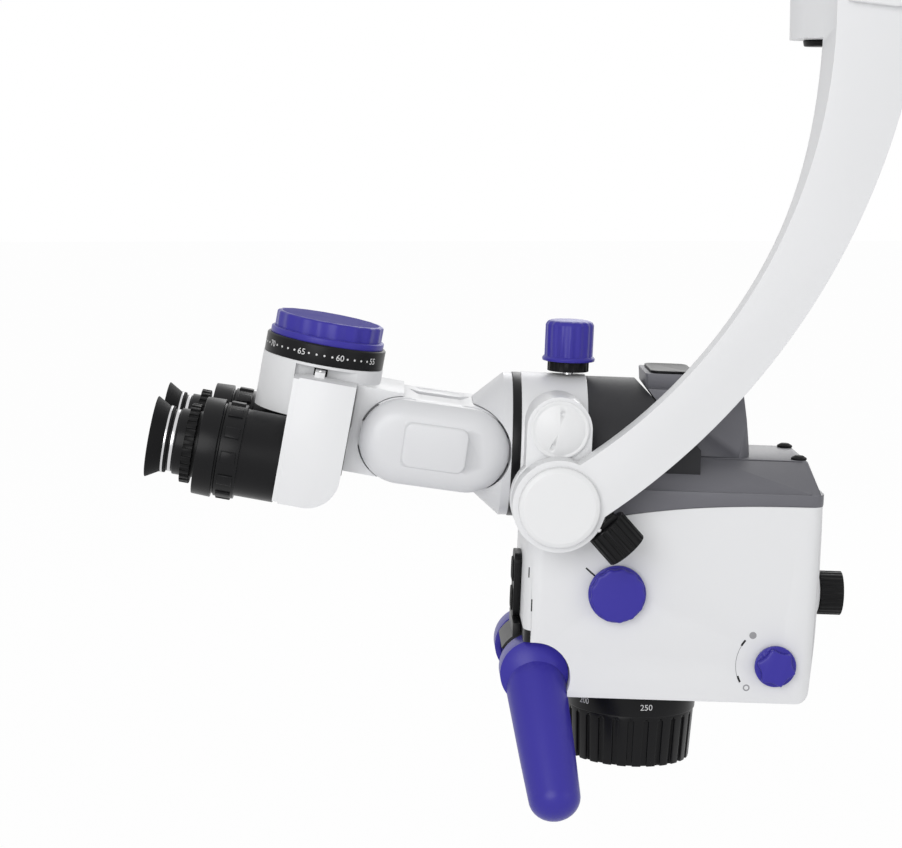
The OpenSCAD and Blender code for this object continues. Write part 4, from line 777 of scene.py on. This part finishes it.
cap = turned("pivot_button", softened([(ARM_FACE, 0), (ARM_FACE, CAP_R), (ARM_FACE - 4.4, 20.7),
    (ARM_FACE - 5.5, 18.2), (ARM_FACE - 5.5, 0)], 1.4, False, 4), "Y", sides=96)
settle(cap, PIVOT, "arm", "white_plastic", "pivot_cap")


def ribbed(name, r, count, height, depth, share=0.5, top_round=1.5):
    """Upright knob with straight ribs: the faces between the ribs are pushed in"""
    piece = round_bar(name, r, 0, height, "Z", sides=count * 4)
    step = 2 * math.pi / count

    def in_groove(f):
        turn = math.atan2(middle(f).y, middle(f).x) % step / step
        return abs(f.normal.z) < 0.1 and turn < 1 - share
    pick("faces", looks_up)
    inset(top_round)
    pick("faces", in_groove)
    bpy.ops.mesh.extrude_region_shrink_fatten(TRANSFORM_OT_shrink_fatten={"value": -depth})
    outwards()
    return piece


def scalloped(name, r, count, height, depth, sharp=1.0, parts=8):
    """Upright knob whose edge dips in count round hollows"""
    piece = round_bar(name, r, 0, height, "Z", sides=count * parts)
    step = 2 * math.pi / count
    for k in range(parts):
        dip = (0.5 - 0.5 * math.cos(2 * math.pi * k / parts)) ** sharp
        turn = k / parts
        pick("verts", lambda v: abs((math.atan2(v.co.y, v.co.x) % step / step - turn + 0.5) % 1 - 0.5)
            < 0.3 / parts)
        grow((1 - depth * dip / r, 1 - depth * dip / r, 1))
    return piece


def on_foot(grip, r, height, lift):
    """Lifts a grip and sets it on a flat round foot"""
    take_all()
    slide((0, 0, lift))
    foot = turned("foot", softened([(0, 0), (0, r), (height, r), (height, 0)], 0.4, False), "Z", sides=96)
    return joined(grip, foot)


clamp = ribbed("clamp_grip", 11.2, 18, 17, 0.8, 0.6)
round_edges(clamp, 0.35, 2, 40)
pick("faces", lambda f: f.normal.z > 0.9 and f.calc_area() > 80)
inset(1.2, -0.5)
settle(clamp, CLAMP, "clamp", "black_plastic", "clamp_knob")
stud = turned("clamp_stud", [(-14, 0), (-14, 3), (0.2, 3), (0.2, 0)], "Z", sides=48)
settle(stud, CLAMP, "clamp", "steel")
base = block("clamp_base", (-7.5, -6, -3), (7.5, 6, -0.25))
carved(base, round_bar("hole", 3.2, -5, 1, "Z", sides=48))
round_edges(base, 0.4)
settle(base, CLAMP, "arm", "black_plastic")
rivet = round_bar("clamp_rivet", 1.1, -7.2, -5.6, "Y", (3.5, -1.6), 24)
round_edges(rivet, 0.25)
settle(rivet, CLAMP, "arm", "steel")

# Body and covers

FRONT, BACK, HALF_WIDTH, BODY_FOOT = -13.5, 140.5, 50, -106
BULGE = 1.0
CROWN, LEDGE = 20.5, 5.5
BODY_LENGTH = BACK - FRONT
DIMMER = (119.3, -85.4)
CHANGER_SHAFT = (34.3, -49.5)
FILTER_HEIGHT = -55.6
KNOB_FACE = 51


def top_edge(x):
    """Height of the body's top edge, which curves down towards the front"""
    return -0.8 - 20.7 * max(0, (BACK - x) / BODY_LENGTH) ** 2.6


def top_line(low, high, lift=0.0):
    """Points along the body's top edge, between two places in X"""
    xs = [low + (high - low) * k / 28 for k in range(29)]
    return [(x, top_edge(x) + lift) for x in xs]


def kept_inside(piece, *others):
    for other in others:
        combine(piece, other, "INTERSECT")
    return piece


side_line = top_line(FRONT - 0.5, BACK) + [(BACK + BULGE, -31.8), (BACK, -70)]
side_line += arc((BACK - 9.2, BODY_FOOT + 7), 7, 0, -90, 6) + [(FRONT - 0.5, BODY_FOOT)]
plan = round_rect((FRONT, -HALF_WIDTH), (BACK + BULGE + 0.1, HALF_WIDTH), 9)
shell = kept_inside(plate("body_skin", side_line, -50.5, 50.5),
    plate("corners", plan, BODY_FOOT - 1, 1, "Z"))
bay = joined(round_bar("bay", 18.5, -60, 60, "Y", GRIP_PIVOT, 96),
    block("under_bay", (-40, -61, -130), (10.7, 61, -96)),
    block("notch", (-40, -61.5, -96.5), (-9.7, 61.5, -71.5)))
seat = round_bar("seat", 39.2, -60, 16.6, "X", (0, PORT_HEIGHT), 96)
room = block("room", (20, -47, BODY_FOOT + 3), (BACK - 3, 47, 8))
hatch = block("hatch", (16.6, -47, BODY_FOOT - 1), (BACK - 7.4, 47, BODY_FOOT + 4))
shaft_holes = round_bar("holes", 4.4, -60, 60, "Y", CHANGER_SHAFT, 32)
dimmer_hole = round_bar("dimmer_hole", 3.4, -60, 0, "Y", DIMMER, 32)
filter_hole = round_bar("filter_hole", 4.4, 130, 150, "X", (0, FILTER_HEIGHT), 32)
boss = turned("boss", [(139, 7.6), (139, 11.2), (148.6, 11.2), (148.6, 7.6)], "X",
    (0, FILTER_HEIGHT), 64, True)
joined(shell, boss)
carved(shell, bay, seat, room, hatch, shaft_holes, dimmer_hole, filter_hole)
round_edges(shell, 0.9, 3, 40)
settle(shell, HEAD, "head", "painted_white", "body_shell")

lip = plate("grey_cover_skin", [(18, -22), (18, CROWN), (134.5, CROWN), (139, LEDGE - 0.02),
    (142, LEDGE - 0.02), (142, -22)], -50.5, 50.5)
roof = [(-50.4, -23), (-50.4, LEDGE), (-48.5, LEDGE), (-25.4, 22), (25.4, 22), (48.5, LEDGE),
    (50.4, LEDGE), (50.4, -23)]
kept_inside(lip, plate("roof", roof, 17, 143, "X"))
pick("edges", lambda e: middle(e).x > 133 and 25 < abs(middle(e).y) < 50 and 6 < middle(e).z < 20
    and (e.verts[1].co - e.verts[0].co).length > 10)
bevel(8, 6)
kept_inside(lip, plate("corners", round_rect((-30, -HALF_WIDTH), (BACK + BULGE, HALF_WIDTH), 9),
    -24, 24, "Z"))
carved(lip, plate("below", top_line(FRONT - 3, BACK + 3) + [(BACK + 3, -30), (FRONT - 3, -30)], -52, 52))
for low, high in ((-52, -49.3), (49.3, 52)):
    carved(lip, plate("lip_gap", top_line(FRONT - 4, BACK + 4, 0.6) + [(BACK + 4, -31), (FRONT - 4, -31)],
        low, high))
carved(lip, block("back_gap", (BACK + 0.3, -53, -20), (BACK + 5, 53, -0.2)))
pick("edges", lambda e: min(v.co.z for v in e.verts) > CROWN - 0.05 and middle(e).x > 125)
bevel(2.6, 4)
round_edges(lip, 0.5, 2, 40)
carved(lip, plate("under", [(15.9, -24), (15.9, 58.8), (43.4, 58.8), (49.5, 54.6), (76.6, 20.7),
    (76.6, -24)], -38.2, 38.2), block("hollow", (78, -45, -30), (BACK - 2, 45, 3)))
slot_ring = carved(plate("ledge_slot", round_rect((-30, -48.7), (139.3, 48.7), 7.7), 4.7, 5.9, "Z"),
    plate("slot_core", round_rect((-31, -48.1), (138.7, 48.1), 7.1), 4, 6.5, "Z"))
carved(lip, slot_ring)
for s in (1, -1):
    carved(lip, block("crown_seam", (84, -28.7 * s - 1.3, 19.75), (131.5, -28.7 * s + 1.3, 20.2)))
settle(lip, HEAD, "head", "cover_grey", "rear_cover")

arch = arc((0, PORT_HEIGHT), 38, 0, 180, 48) + [(-38, -19.5), (38, -19.5)]
dark = plate("dark_cover_skin", arch, 16.8, 76.3, "X")
slice_off((43.4, 0, 58.5), (4.1, 0, 5.8))
slice_off((49.2, 0, 54.4), (33.9, 0, 27.1))
dark_room = plate("dark_room", [(0.93 * y, 0.93 * (z - PORT_HEIGHT) + PORT_HEIGHT - 1) for y, z in arch],
    19, 69, "X")
carved(dark, dark_room)
round_edges(dark, 0.9, 3, 32)
settle(dark, HEAD, "head", "cover_dark", "front_cover")

tower = plate("tower_skin", [(49.2, 54.4), (48.2, 55.6), (47.2, 63.4), (73.4, 63.4), (99.6, 53.2),
    (104.7, CROWN), (76.3, CROWN)], -30, 30)
kept_inside(tower, plate("front_shape", [(-27.07, 20), (-20.92, 64), (20.92, 64), (27.07, 20)],
    40, 110, "X"), plate("plan", round_rect((47.1, -27.2), (104.8, 27.2), 11), 19, 65, "Z"))
round_edges(tower, 0.9, 3, 30)
for s in (1, -1):
    carved(tower, block("step_line", (40, -26 * s - 4.4, 55.3), (98, -26 * s + 4.4, 55.8)),
        block("foot_gap", (70, -30.5 * s - 4.2, 19), (110, -30.5 * s + 4.2, 21.1)))
carved(tower, block("front_step", (40, -30, 55.3), (48.7, 30, 55.8)),
    block("back_gap", (103.9, -31, 19), (110, 31, 21.1)))
settle(tower, HEAD, "head", "cover_grey", "camera_tower")

lid = plate("tower_lid", round_rect((50, -20), (73.2, 20), 5), 63.4, 65, "Z")
pick("faces", looks_up)
inset(1.2, -0.4)
round_edges(lid, 0.35, 2)
settle(lid, HEAD, "head", "black_plastic", "tower_cap")

plug = turned("cover_plug_near", softened([(CROWN, 0), (CROWN, 4.2), (CROWN + 1, 4.2),
    (CROWN + 2.2, 2.2), (CROWN + 2.2, 0)], 0.6, False), "Z", (130.5, -23), 32)
settle(copied(plug, "cover_plug_far", moved(0, 46, 0)), HEAD, "head", "black_rubber")
settle(plug, HEAD, "head", "black_rubber", "cover_plugs")
screw = turned("rear_screw", [(139.9, 0), (139.9, 2.6), (141.4, 2.2), (141.6, 0)], "X", (-38, -72), 32)
settle(screw, HEAD, "head", "steel")

# Marks printed on the near side of the body, and painted shade for two slots on its front corner

INK = (-50.08, -49.95)


def printed_ring(name, r, width, start, end, look):
    """Part of a ring printed round the brightness knob"""
    outline = arc(DIMMER, r + width / 2, start, end, 16) + arc(DIMMER, r - width / 2, end, start, 16)
    settle(plate(name, outline, *INK), HEAD, "head", look, flat=True)


index = plate("changer_index", [(17.31, -36.95), (17.89, -36.25), (22.79, -40.35), (22.21, -41.05)], *INK)
settle(index, HEAD, "head", "dark_print", flat=True)
printed_ring("dimmer_sweep", 20.6, 0.3, 141, 209, "grey_print")
printed_ring("dimmer_dash_low", 20.2, 1.0, 198, 208, "dark_print")
printed_ring("dimmer_dash_high", 20.7, 1.0, 141, 151, "dark_print")
for name, turn, out, r, eye in (("dimmer_dot", 128, 20, 1.9, 0), ("dimmer_ring", 221, 19, 1.8, 1.1)):
    spot = arc(DIMMER, out, turn, turn, 1)[0]
    symbol = round_bar(name, r, *INK, "Y", spot, 32)
    if eye:
        carved(symbol, round_bar("eye", eye, -51, -49, "Y", spot, 32))
    settle(symbol, HEAD, "head", "grey_print", flat=True)
# Two thin dark strips on the front corner: painted shade standing in for two slots, which are not cut
for name, x, y, turn, low, high in (("corner_dash_high", -11.8, -46.3, 215.8, -43.4, -38),
        ("corner_dash_low", -9.8, -48.27, 233.9, -61, -54.6)):
    dash = block(name, (-0.1, -0.35, low), (0.1, 0.35, high))
    settle(dash, HEAD @ moved(x, y, 0) @ tilted(turn, "Z"), "head", "dark_print", flat=True)

# Neck

NECK_R, PORT_R, NECK_FRONT = 39, 22, -18.3
ARCH, ARCH_R, ARCH_FACE = (0, 37), 16.8, -60.4
neck = turned("neck_skin", softened([(NECK_FRONT, PORT_R), (NECK_FRONT, NECK_R), (16.7, NECK_R),
    (16.7, PORT_R)], 0.7, True),
    "X", (0, PORT_HEIGHT), 96, True)
arch_line = arc(ARCH, ARCH_R, 0, 180, 40)
lug = joined(plate("lug", arch_line + [(-ARCH_R, -11), (ARCH_R, -11)], -50.6, -30),
    plate("arch_face", arch_line + [(-ARCH_R, 0), (ARCH_R, 0)], ARCH_FACE, -50.5),
    round_bar("lug_disc", 24, -60.35, -50.4, "Y", sides=96),
    round_bar("lug_step", 21.5, -62, -60.3, "Y", sides=96))
carved(lug, round_bar("axle_hole", 8, -70, -34, "Y", sides=48),
    round_bar("port", PORT_R, -20, 20, "X", (0, PORT_HEIGHT), 64))
joined(neck, lug)
carved(neck, round_bar("lock_hole", 3, 40, 70, "Z", (7.3, 0), 24))
round_edges(neck, 0.9, 3, 32)
settle(neck, HEAD, "head", "painted_white", "neck_block")

cap = turned("arch_button", [(ARCH_FACE, 0), (ARCH_FACE, 15), (-62.0, 15), (-62.3, 14.4), (-62.3, 0)],
    "Y", ARCH, 96)
pick("faces", lambda f: f.normal.y < -0.95)
inset(1.0)
inset(0.35, -0.25)
inset(0.35, 0.25)
for x, z in ((1, 45.3), (-3.3, 28.3)):
    carved(cap, round_bar("pin_hole", 1.1, -63, -61.2, "Y", (x, z), 20))
settle(cap, HEAD, "head", "white_plastic", "arch_cap")

ring = turned("port_collar", softened([(-22.9, 30.1), (-22.9, 38.8), (NECK_FRONT, 38.8), (NECK_FRONT, 30.1)],
    0.5, True), "X", (0, PORT_HEIGHT), 96, True)
settle(ring, HEAD, "head", "black_metal", "port_ring")

# Knobs and keys of the body

for side, where, node in ((NEAR, "near_changer", "near_changer_knob"),
        (FAR, "far_changer", "far_changer_knob")):
    knob = scalloped(where + "_grip", 14.5, 13, 4.6, 0.8)
    pick("faces", looks_up)
    inset(1.2)
    slide((0, 0, 0.6))
    inset(0.8)
    round_edges(knob, 0.35, 2, 25)
    on_foot(knob, 15.1, 2.2, 1.6)
    spot = HEAD @ moved(CHANGER_SHAFT[0], -KNOB_FACE * side, CHANGER_SHAFT[1])
    settle(knob, spot @ tilted(90 * side, "X"), where, "blue_plastic", node)

dimmer = scalloped("brightness_grip", 10.3, 6, 4.3, 2.2, 0.5, 12)
pick("faces", looks_up)
inset(1.2)
slide((0, 0, 0.4))
round_edges(dimmer, 0.4, 3, 25)
on_foot(dimmer, 10.9, 2.4, 2.2)
settle(dimmer, HEAD @ moved(DIMMER[0], -KNOB_FACE, DIMMER[1]) @ FACING_NEAR @ tilted(46, "Z"),
    "brightness", "blue_plastic", "brightness_knob")

filter_grip = ribbed("filter_grip", 12, 24, 12.4, 0.35, 0.55)
round_edges(filter_grip, 0.3, 2, 40)
neck_bar = turned("filter_neck", softened([(-6.6, 4.2), (-6.6, 7), (0, 7), (0, 4.2)], 0.3, True), "Z",
    sides=48, closed=True)
gather(filter_grip, neck_bar)
settle(filter_grip, HEAD @ moved(149.1, 0, FILTER_HEIGHT) @ ALONG_X, "filter", "black_plastic", "filter_knob")

keys_plate = plate("keypad_frame", round_rect((-11.5, -73), (11.5, -38), 5), -17.5, -13.5, "X")
for z in (-48, -64):
    carved(keys_plate, plate("pocket", round_rect((-9, z - 6.5), (9, z + 6.5), 4.5), -19, -14.85, "X"))
round_edges(keys_plate, 0.4, 2)
settle(keys_plate, HEAD, "head", "black_plastic", "keypad_base")
for name, z, body in (("upper_key", -48, "upper_button"), ("lower_key", -64, "lower_button")):
    key = plate(name + "_pad", round_rect((-8.5, z - 6), (8.5, z + 6), 4), -18.5, -15.95, "X")
    pick("faces", lambda f: f.normal.x < -0.9)
    inset(1.6, -0.35)
    round_edges(key, 0.6, 3)
    settle(key, HEAD, body, "black_rubber", name)

LOCK_X, LOCK_BASE = 7.3, 61.1
flutes = scalloped("tube_lock_grip", 13, 16, 19.4, 0.5)
pick("faces", looks_up)
inset(1.0)
slide((0, 0, 1.6))
inset(1.6)
slide((0, 0, 0.7))
round_edges(flutes, 0.3, 2, 24)
flange = turned("flange", softened([(0, 0), (0, 14), (1.4, 14.2), (2.6, 13.2), (2.6, 0)], 0.5, False),
    "Z", sides=128)
joined(flutes, flange)
settle(flutes, HEAD @ moved(LOCK_X, 0, LOCK_BASE + 5.5), "tube_lock", "blue_plastic", "tube_lock_knob")
collar = ribbed("tube_lock_collar", 11.1, 12, 5.4, 0.5, 0.6, 0.6)
round_edges(collar, 0.25, 2, 40)
settle(collar, HEAD @ moved(LOCK_X, 0, LOCK_BASE), "tube_lock", "black_plastic")
shaft = turned("tube_lock_shaft", softened([(-12.6, 0), (-12.6, 3), (0.2, 3), (0.2, 0)], 0.2, False),
    "Z", sides=32)
settle(shaft, HEAD @ moved(LOCK_X, 0, LOCK_BASE), "tube_lock", "steel")

# Numbers and the focus ring


def number(name, text, height, spot, body):
    """White figures, standing upright and read from the near side, on the skin of a ring"""
    clear()
    bpy.ops.object.text_add()
    figures = bpy.context.object
    figures.name = name
    figures.data.body = text
    figures.data.size = height / 0.7
    figures.data.align_x = "CENTER"
    figures.data.align_y = "CENTER"
    figures.data.extrude = 0.04
    figures.data.resolution_u = 3
    bpy.ops.object.convert(target="MESH")
    settle(figures, spot @ FACING_NEAR, body, "white_print", flat=True)


def on_rim(axis_x, r, turn, z):
    """A place on the skin of an upright ring, turned about its axis from the near side"""
    return moved(axis_x, 0, 0) @ tilted(turn, "Z") @ moved(0, -r, z)


RING_TOP, RING_FOOT, BAND = -107.9, -147.5, 12
WALL_TOP = RING_TOP - BAND + 0.2
WIDE_TOP, NARROW_TOP = WALL_TOP - 2.4, WALL_TOP - 1.4
RIBS, PARTS = 26, 8
hand = round_bar("rib_wall", 34.6, RING_FOOT - 0.5, WALL_TOP, "Z", sides=RIBS * PARTS)
for height in (NARROW_TOP, WIDE_TOP):
    slice_off((0, 0, height), (0, 0, 1), keep_both=True)


def in_channel(f):
    """A face of the wall inside a channel, which is narrower at its top"""
    step = 2 * math.pi / RIBS
    part = int(math.atan2(middle(f).y, middle(f).x) % step / step * PARTS)
    height = middle(f).z
    wide, narrow = height < WIDE_TOP, WIDE_TOP < height < NARROW_TOP
    return abs(f.normal.z) < 0.1 and (wide and part in (0, 1, 2) or narrow and part == 1)


pick("faces", in_channel)
bpy.ops.mesh.extrude_region_shrink_fatten(TRANSFORM_OT_shrink_fatten={"value": -1.6})
outwards()
slice_off((0, 0, RING_FOOT), (0, 0, -1))
pick("verts", lambda v: v.co.z < RING_FOOT + 0.1)
grow((0.96, 0.96, 1))
round_edges(hand, 0.35, 2, 40)
band = turned("band", softened([(RING_TOP - BAND, 30.4), (RING_TOP - BAND, 35.3), (RING_TOP - 1, 35.6),
    (RING_TOP, 35.2), (RING_TOP, 30.4)], 0.5, True), "Z", sides=144, closed=True)
joined(hand, band)
carved(hand, round_bar("ring_bore", 30.3, RING_FOOT - 1, RING_TOP + 1, "Z", sides=128))
settle(hand, OPTIC, "focus", "black_metal", "focus_ring", angle=30)
for text, turn in (("200", -49.6), ("250", 8.4)):
    number("focus_number_" + text, text, 3.2, OPTIC @ on_rim(0, 35.5, turn, -114.4), "focus")

# Handles

settle(rounded_solid("handle_bracket", 0.5), Matrix.Identity(4), "head", "black_metal", "handle_bracket")

BELL_R, DOME_R = 18, 30
dome = [(-BELL_R - math.sqrt(DOME_R ** 2 - r ** 2), r) for r in (15, 12, 9, 6, 3, 0)]
bell = turned("near_handle_skin", [(-25, 0), (-25, BELL_R), (-42, BELL_R)] + dome, "Y", sides=72)
stem_line = [(-8, 0)] + arc((8, 0), 16, 165, 90, 5) + [(30, 15.3), (50, 14.6), (72, 13.6)]
stem_line += [(72 + 12 * math.sin(math.radians(a)), 13.6 * math.cos(math.radians(a)))
    for a in range(10, 90, 10)] + [(84, 0)]
stem = turned("stem", stem_line, "Z", sides=64)
only(stem)
stem.data.transform(moved(0, -35, 0) @ tilted(-38, "X") @ tilted(-8.6) @ Matrix.Scale(-1, 4, (0, 0, 1)))
edit(stem)
outwards()
joined(bell, stem)
carved(bell, round_bar("cup", 15, -27, -20, "Y", sides=64),
    round_bar("pin_hole", 6.1, -33, -20, "Y", sides=48))
round_edges(bell, 1.6, 4, 28)
ACROSS = Matrix.Scale(-1, 4, (0, 1, 0))
far_bell = copied(bell, "far_handle_skin", ACROSS)
settle(bell, GRIPS, "near_handle", "blue_plastic", "near_grip", angle=50)
settle(far_bell, GRIPS, "far_handle", "blue_plastic", "far_grip", angle=50)

# Inclinable tube

CHEEK_R = 22.4
cheek = plate("cheek_near", arc((0, 0), CHEEK_R, -90, 90, 32)
    + arc((-LINK_LENGTH, 0), CHEEK_R, 90, 270, 32), -28.4, -33.2)
pick("faces", lambda f: f.normal.y < -0.9)
for width, rise in ((1.6, 2.4), (2.6, 2.2), (3.0, 1.3), (3.0, 0.6)):
    inset(width)
    slide((0, -rise, 0))
round_edges(cheek, 0.8, 3, 25)
pad = plate("pad", round_rect((-34, -12), (0.2, 12), 5), -36, -40.7)
pick("faces", lambda f: f.normal.y < -0.9)
inset(1.4)
slide((0, -0.3, 0))
round_edges(pad, 1.0, 3, 25)
joined(cheek, pad)
# The cheeks take painted_grey: the white paint with painted shade
settle(copied(cheek, "cheek_far", ACROSS), LINK, "link", "painted_grey", angle=50)
settle(cheek, LINK, "link", "painted_grey", "link_cheeks", angle=50)

# A thin black sheet on top of the link: painted shade standing in for its recess
recess_shade = plate("link_insert", [(-29, 0.2), (-4.5, 0.2), (-0.6, 11.8), (-33.8, 11.8)], 19.2, 19.5, "Z")
round_edges(recess_shade, 0.1, 1)
settle(recess_shade, LINK, "link", "black_plastic")
screw = round_bar("link_screw", 1.6, 19.2, 19.8, "Z", (-17.25, 5), 24)
round_edges(screw, 0.15)
settle(screw, LINK, "link", "steel")

for node, width in (("tube_flange", 1.0), ("tube_link", 0.8), ("eyepiece_housing", 0.7),
        ("near_carriage", 0.6), ("far_carriage", 0.6), ("suspension_spindle", 0.5)):
    piece = rounded_solid(node, width)
    settle(piece, Matrix.Identity(4), body_of(node), slot_of[node], node)

# Width dial and scale

DIAL_X = -48.3
DIAL_FOOT = 42.3
SCALE_R, SCALE_Z = 32, 37
SCALE_MIDDLE, SCALE_TURN, SCALE_STEP = 60, 16, 7.5
dial = scalloped("dial_grip", 28.8, 18, 11.2, 0.7, 0.8)
pick("faces", looks_up)
inset(0.8)
slide((0, 0, 0.8))
inset(1.2)
round_edges(dial, 0.3, 2, 25)
skirt = turned("skirt", softened([(0, 0), (0, 30.4), (3.0, 30.4), (3.6, 29.8), (3.6, 0)], 0.3, False),
    "Z", sides=144)
joined(dial, skirt)
settle(dial, EYES @ moved(DIAL_X, 0, DIAL_FOOT), "dial", "blue_plastic", "width_dial", angle=28)
top_disc = round_bar("dial_top", 26.2, 11.8, 12.1, "Z", sides=96)
round_edges(top_disc, 0.1, 1)
settle(top_disc, EYES @ moved(DIAL_X, 0, DIAL_FOOT), "dial", "dull_blue")

scale = turned("scale_band", softened([(31.9, 4), (31.9, 32), (41.6, 32), (42.3, 31.4), (42.3, 25),
    (34.5, 25), (34.5, 4)], 0.4, True), "Z", sides=144, closed=True)
settle(scale, EYES @ moved(DIAL_X, 0, 0), "dial", "black_metal", "scale_ring")
for value in range(55, 76):
    turn = SCALE_TURN - (value - SCALE_MIDDLE) * SCALE_STEP
    spot = EYES @ on_rim(DIAL_X, SCALE_R, turn, SCALE_Z)
    if value % 5 == 0:
        number(f"scale_number_{value}", str(value), 3.2, spot, "dial")
    else:
        dot = round_bar(f"scale_dot_{value}", 0.55, -0.06, 0.1, "Y", sides=16)
        settle(dot, spot, "dial", "white_print", flat=True)

for s, side in ((NEAR, "near"), (FAR, "far")):
    # A thin black sheet on the housing: painted shade standing in for the slot behind the drive pin
    low, high = sorted((-26.3 * s, -25.9 * s))
    guide = block(side + "_guide_slot", (-51.9, low, 25.4), (-44.7, high, 29.5))
    round_edges(guide, 0.1, 1)
    settle(guide, EYES, "eye_housing", "black_plastic")
    pin = round_bar(side + "_drive_pin", 1.1, 25.5, 29.6, "Z", (DIAL_X, -35.5 * s), 24)
    round_edges(pin, 0.25)
    settle(pin, EYES, side + "_eye", "steel")
    # A thin dark strip along the carriage's edge: painted shade standing in for the slit there
    low, high = sorted((-54.3 * s, -54.0 * s))
    line = block(side + "_carriage_line", (-28.35, low, -20), (-28.0, high, 26))
    settle(line, EYES, side + "_eye", "dark_print", flat=True)

# Eyepieces

EYE_Y, EYE_Z = 31, -21
for s, side in ((NEAR, "near"), (FAR, "far")):
    spot = EYES @ moved(0, -EYE_Y * s, EYE_Z)
    body = side + "_eye"
    tube_wall = turned(side + "_tube_body", softened([(-61, 12), (-61, 23), (-81.7, 23), (-81.7, 24.8),
        (-92.5, 24.8), (-92.5, 23.8), (-93.8, 23.8), (-93.8, 26), (-103.8, 25.6), (-103.8, 17.5),
        (-115.6, 17.5), (-115.6, 16.3), (-120.8, 16.3), (-120.8, 14), (-118.8, 14), (-118.8, 12)],
        0.45, True), "X", sides=96, closed=True)
    settle(tube_wall, spot, body, "black_metal", side + "_barrel")
    lens = turned(side + "_eye_lens", [(-118.8, 12), (-115.8, 12), (-115.8, 0)], "X", sides=48)
    dome = turned("dome", [(-118.8, 12), (-119.3, 9), (-119.7, 5), (-119.8, 0)], "X", sides=48)
    gather(lens, dome)
    outwards()
    settle(lens, spot, body, "lens_glass")
    bars = None
    for k in range(12):
        bar = block(f"bar_{k}", (-91, -3, 23), (-83.2, 3, 25.8))
        pick("edges", lambda e: middle(e).z > 25)
        bevel(0.6, 2)
        only(bar)
        bar.data.transform(tilted(30 * k, "X"))
        bars = bar if bars is None else gather(bars, bar)
    bars.name = side + "_clamp_bars"
    settle(bars, spot, body, "black_metal")
    for name, rider, start, end, r in (("_inner_hoop", body, -116.4, -118, 16.45),
            ("_outer_hoop", side + "_cup", -120.5, -121.6, 17.7)):
        hoop = turned(side + name, softened([(start, r - 0.6), (start, r), (end, r), (end, r - 0.6)],
            0.15, True), "X", sides=72, closed=True)
        settle(hoop, spot, rider, "steel")
    teeth = ribbed(side + "_dioptre_grip", 21, 30, 5, 0.9, 0.55, 0.5)
    round_edges(teeth, 0.25, 2, 40)
    carved(teeth, round_bar("bore", 17.8, -1, 6, "Z", sides=72))
    settle(teeth, spot @ moved(-111, 0, 0) @ ALONG_X, side + "_dioptre", "black_plastic",
        side + "_dioptre_ring")
    cup = turned(side + "_cup_skin", softened([(-119.2, 16.6), (-119.2, 17.5), (-122.3, 17.5), (-129.3, 21.6),
        (-129.3, 20), (-125.5, 12), (-124.1, 12), (-124.1, 16.6)], 0.5, True), "X", sides=72, closed=True)
    settle(cup, spot, side + "_cup", "black_rubber", side + "_eyecup")

object_mode()
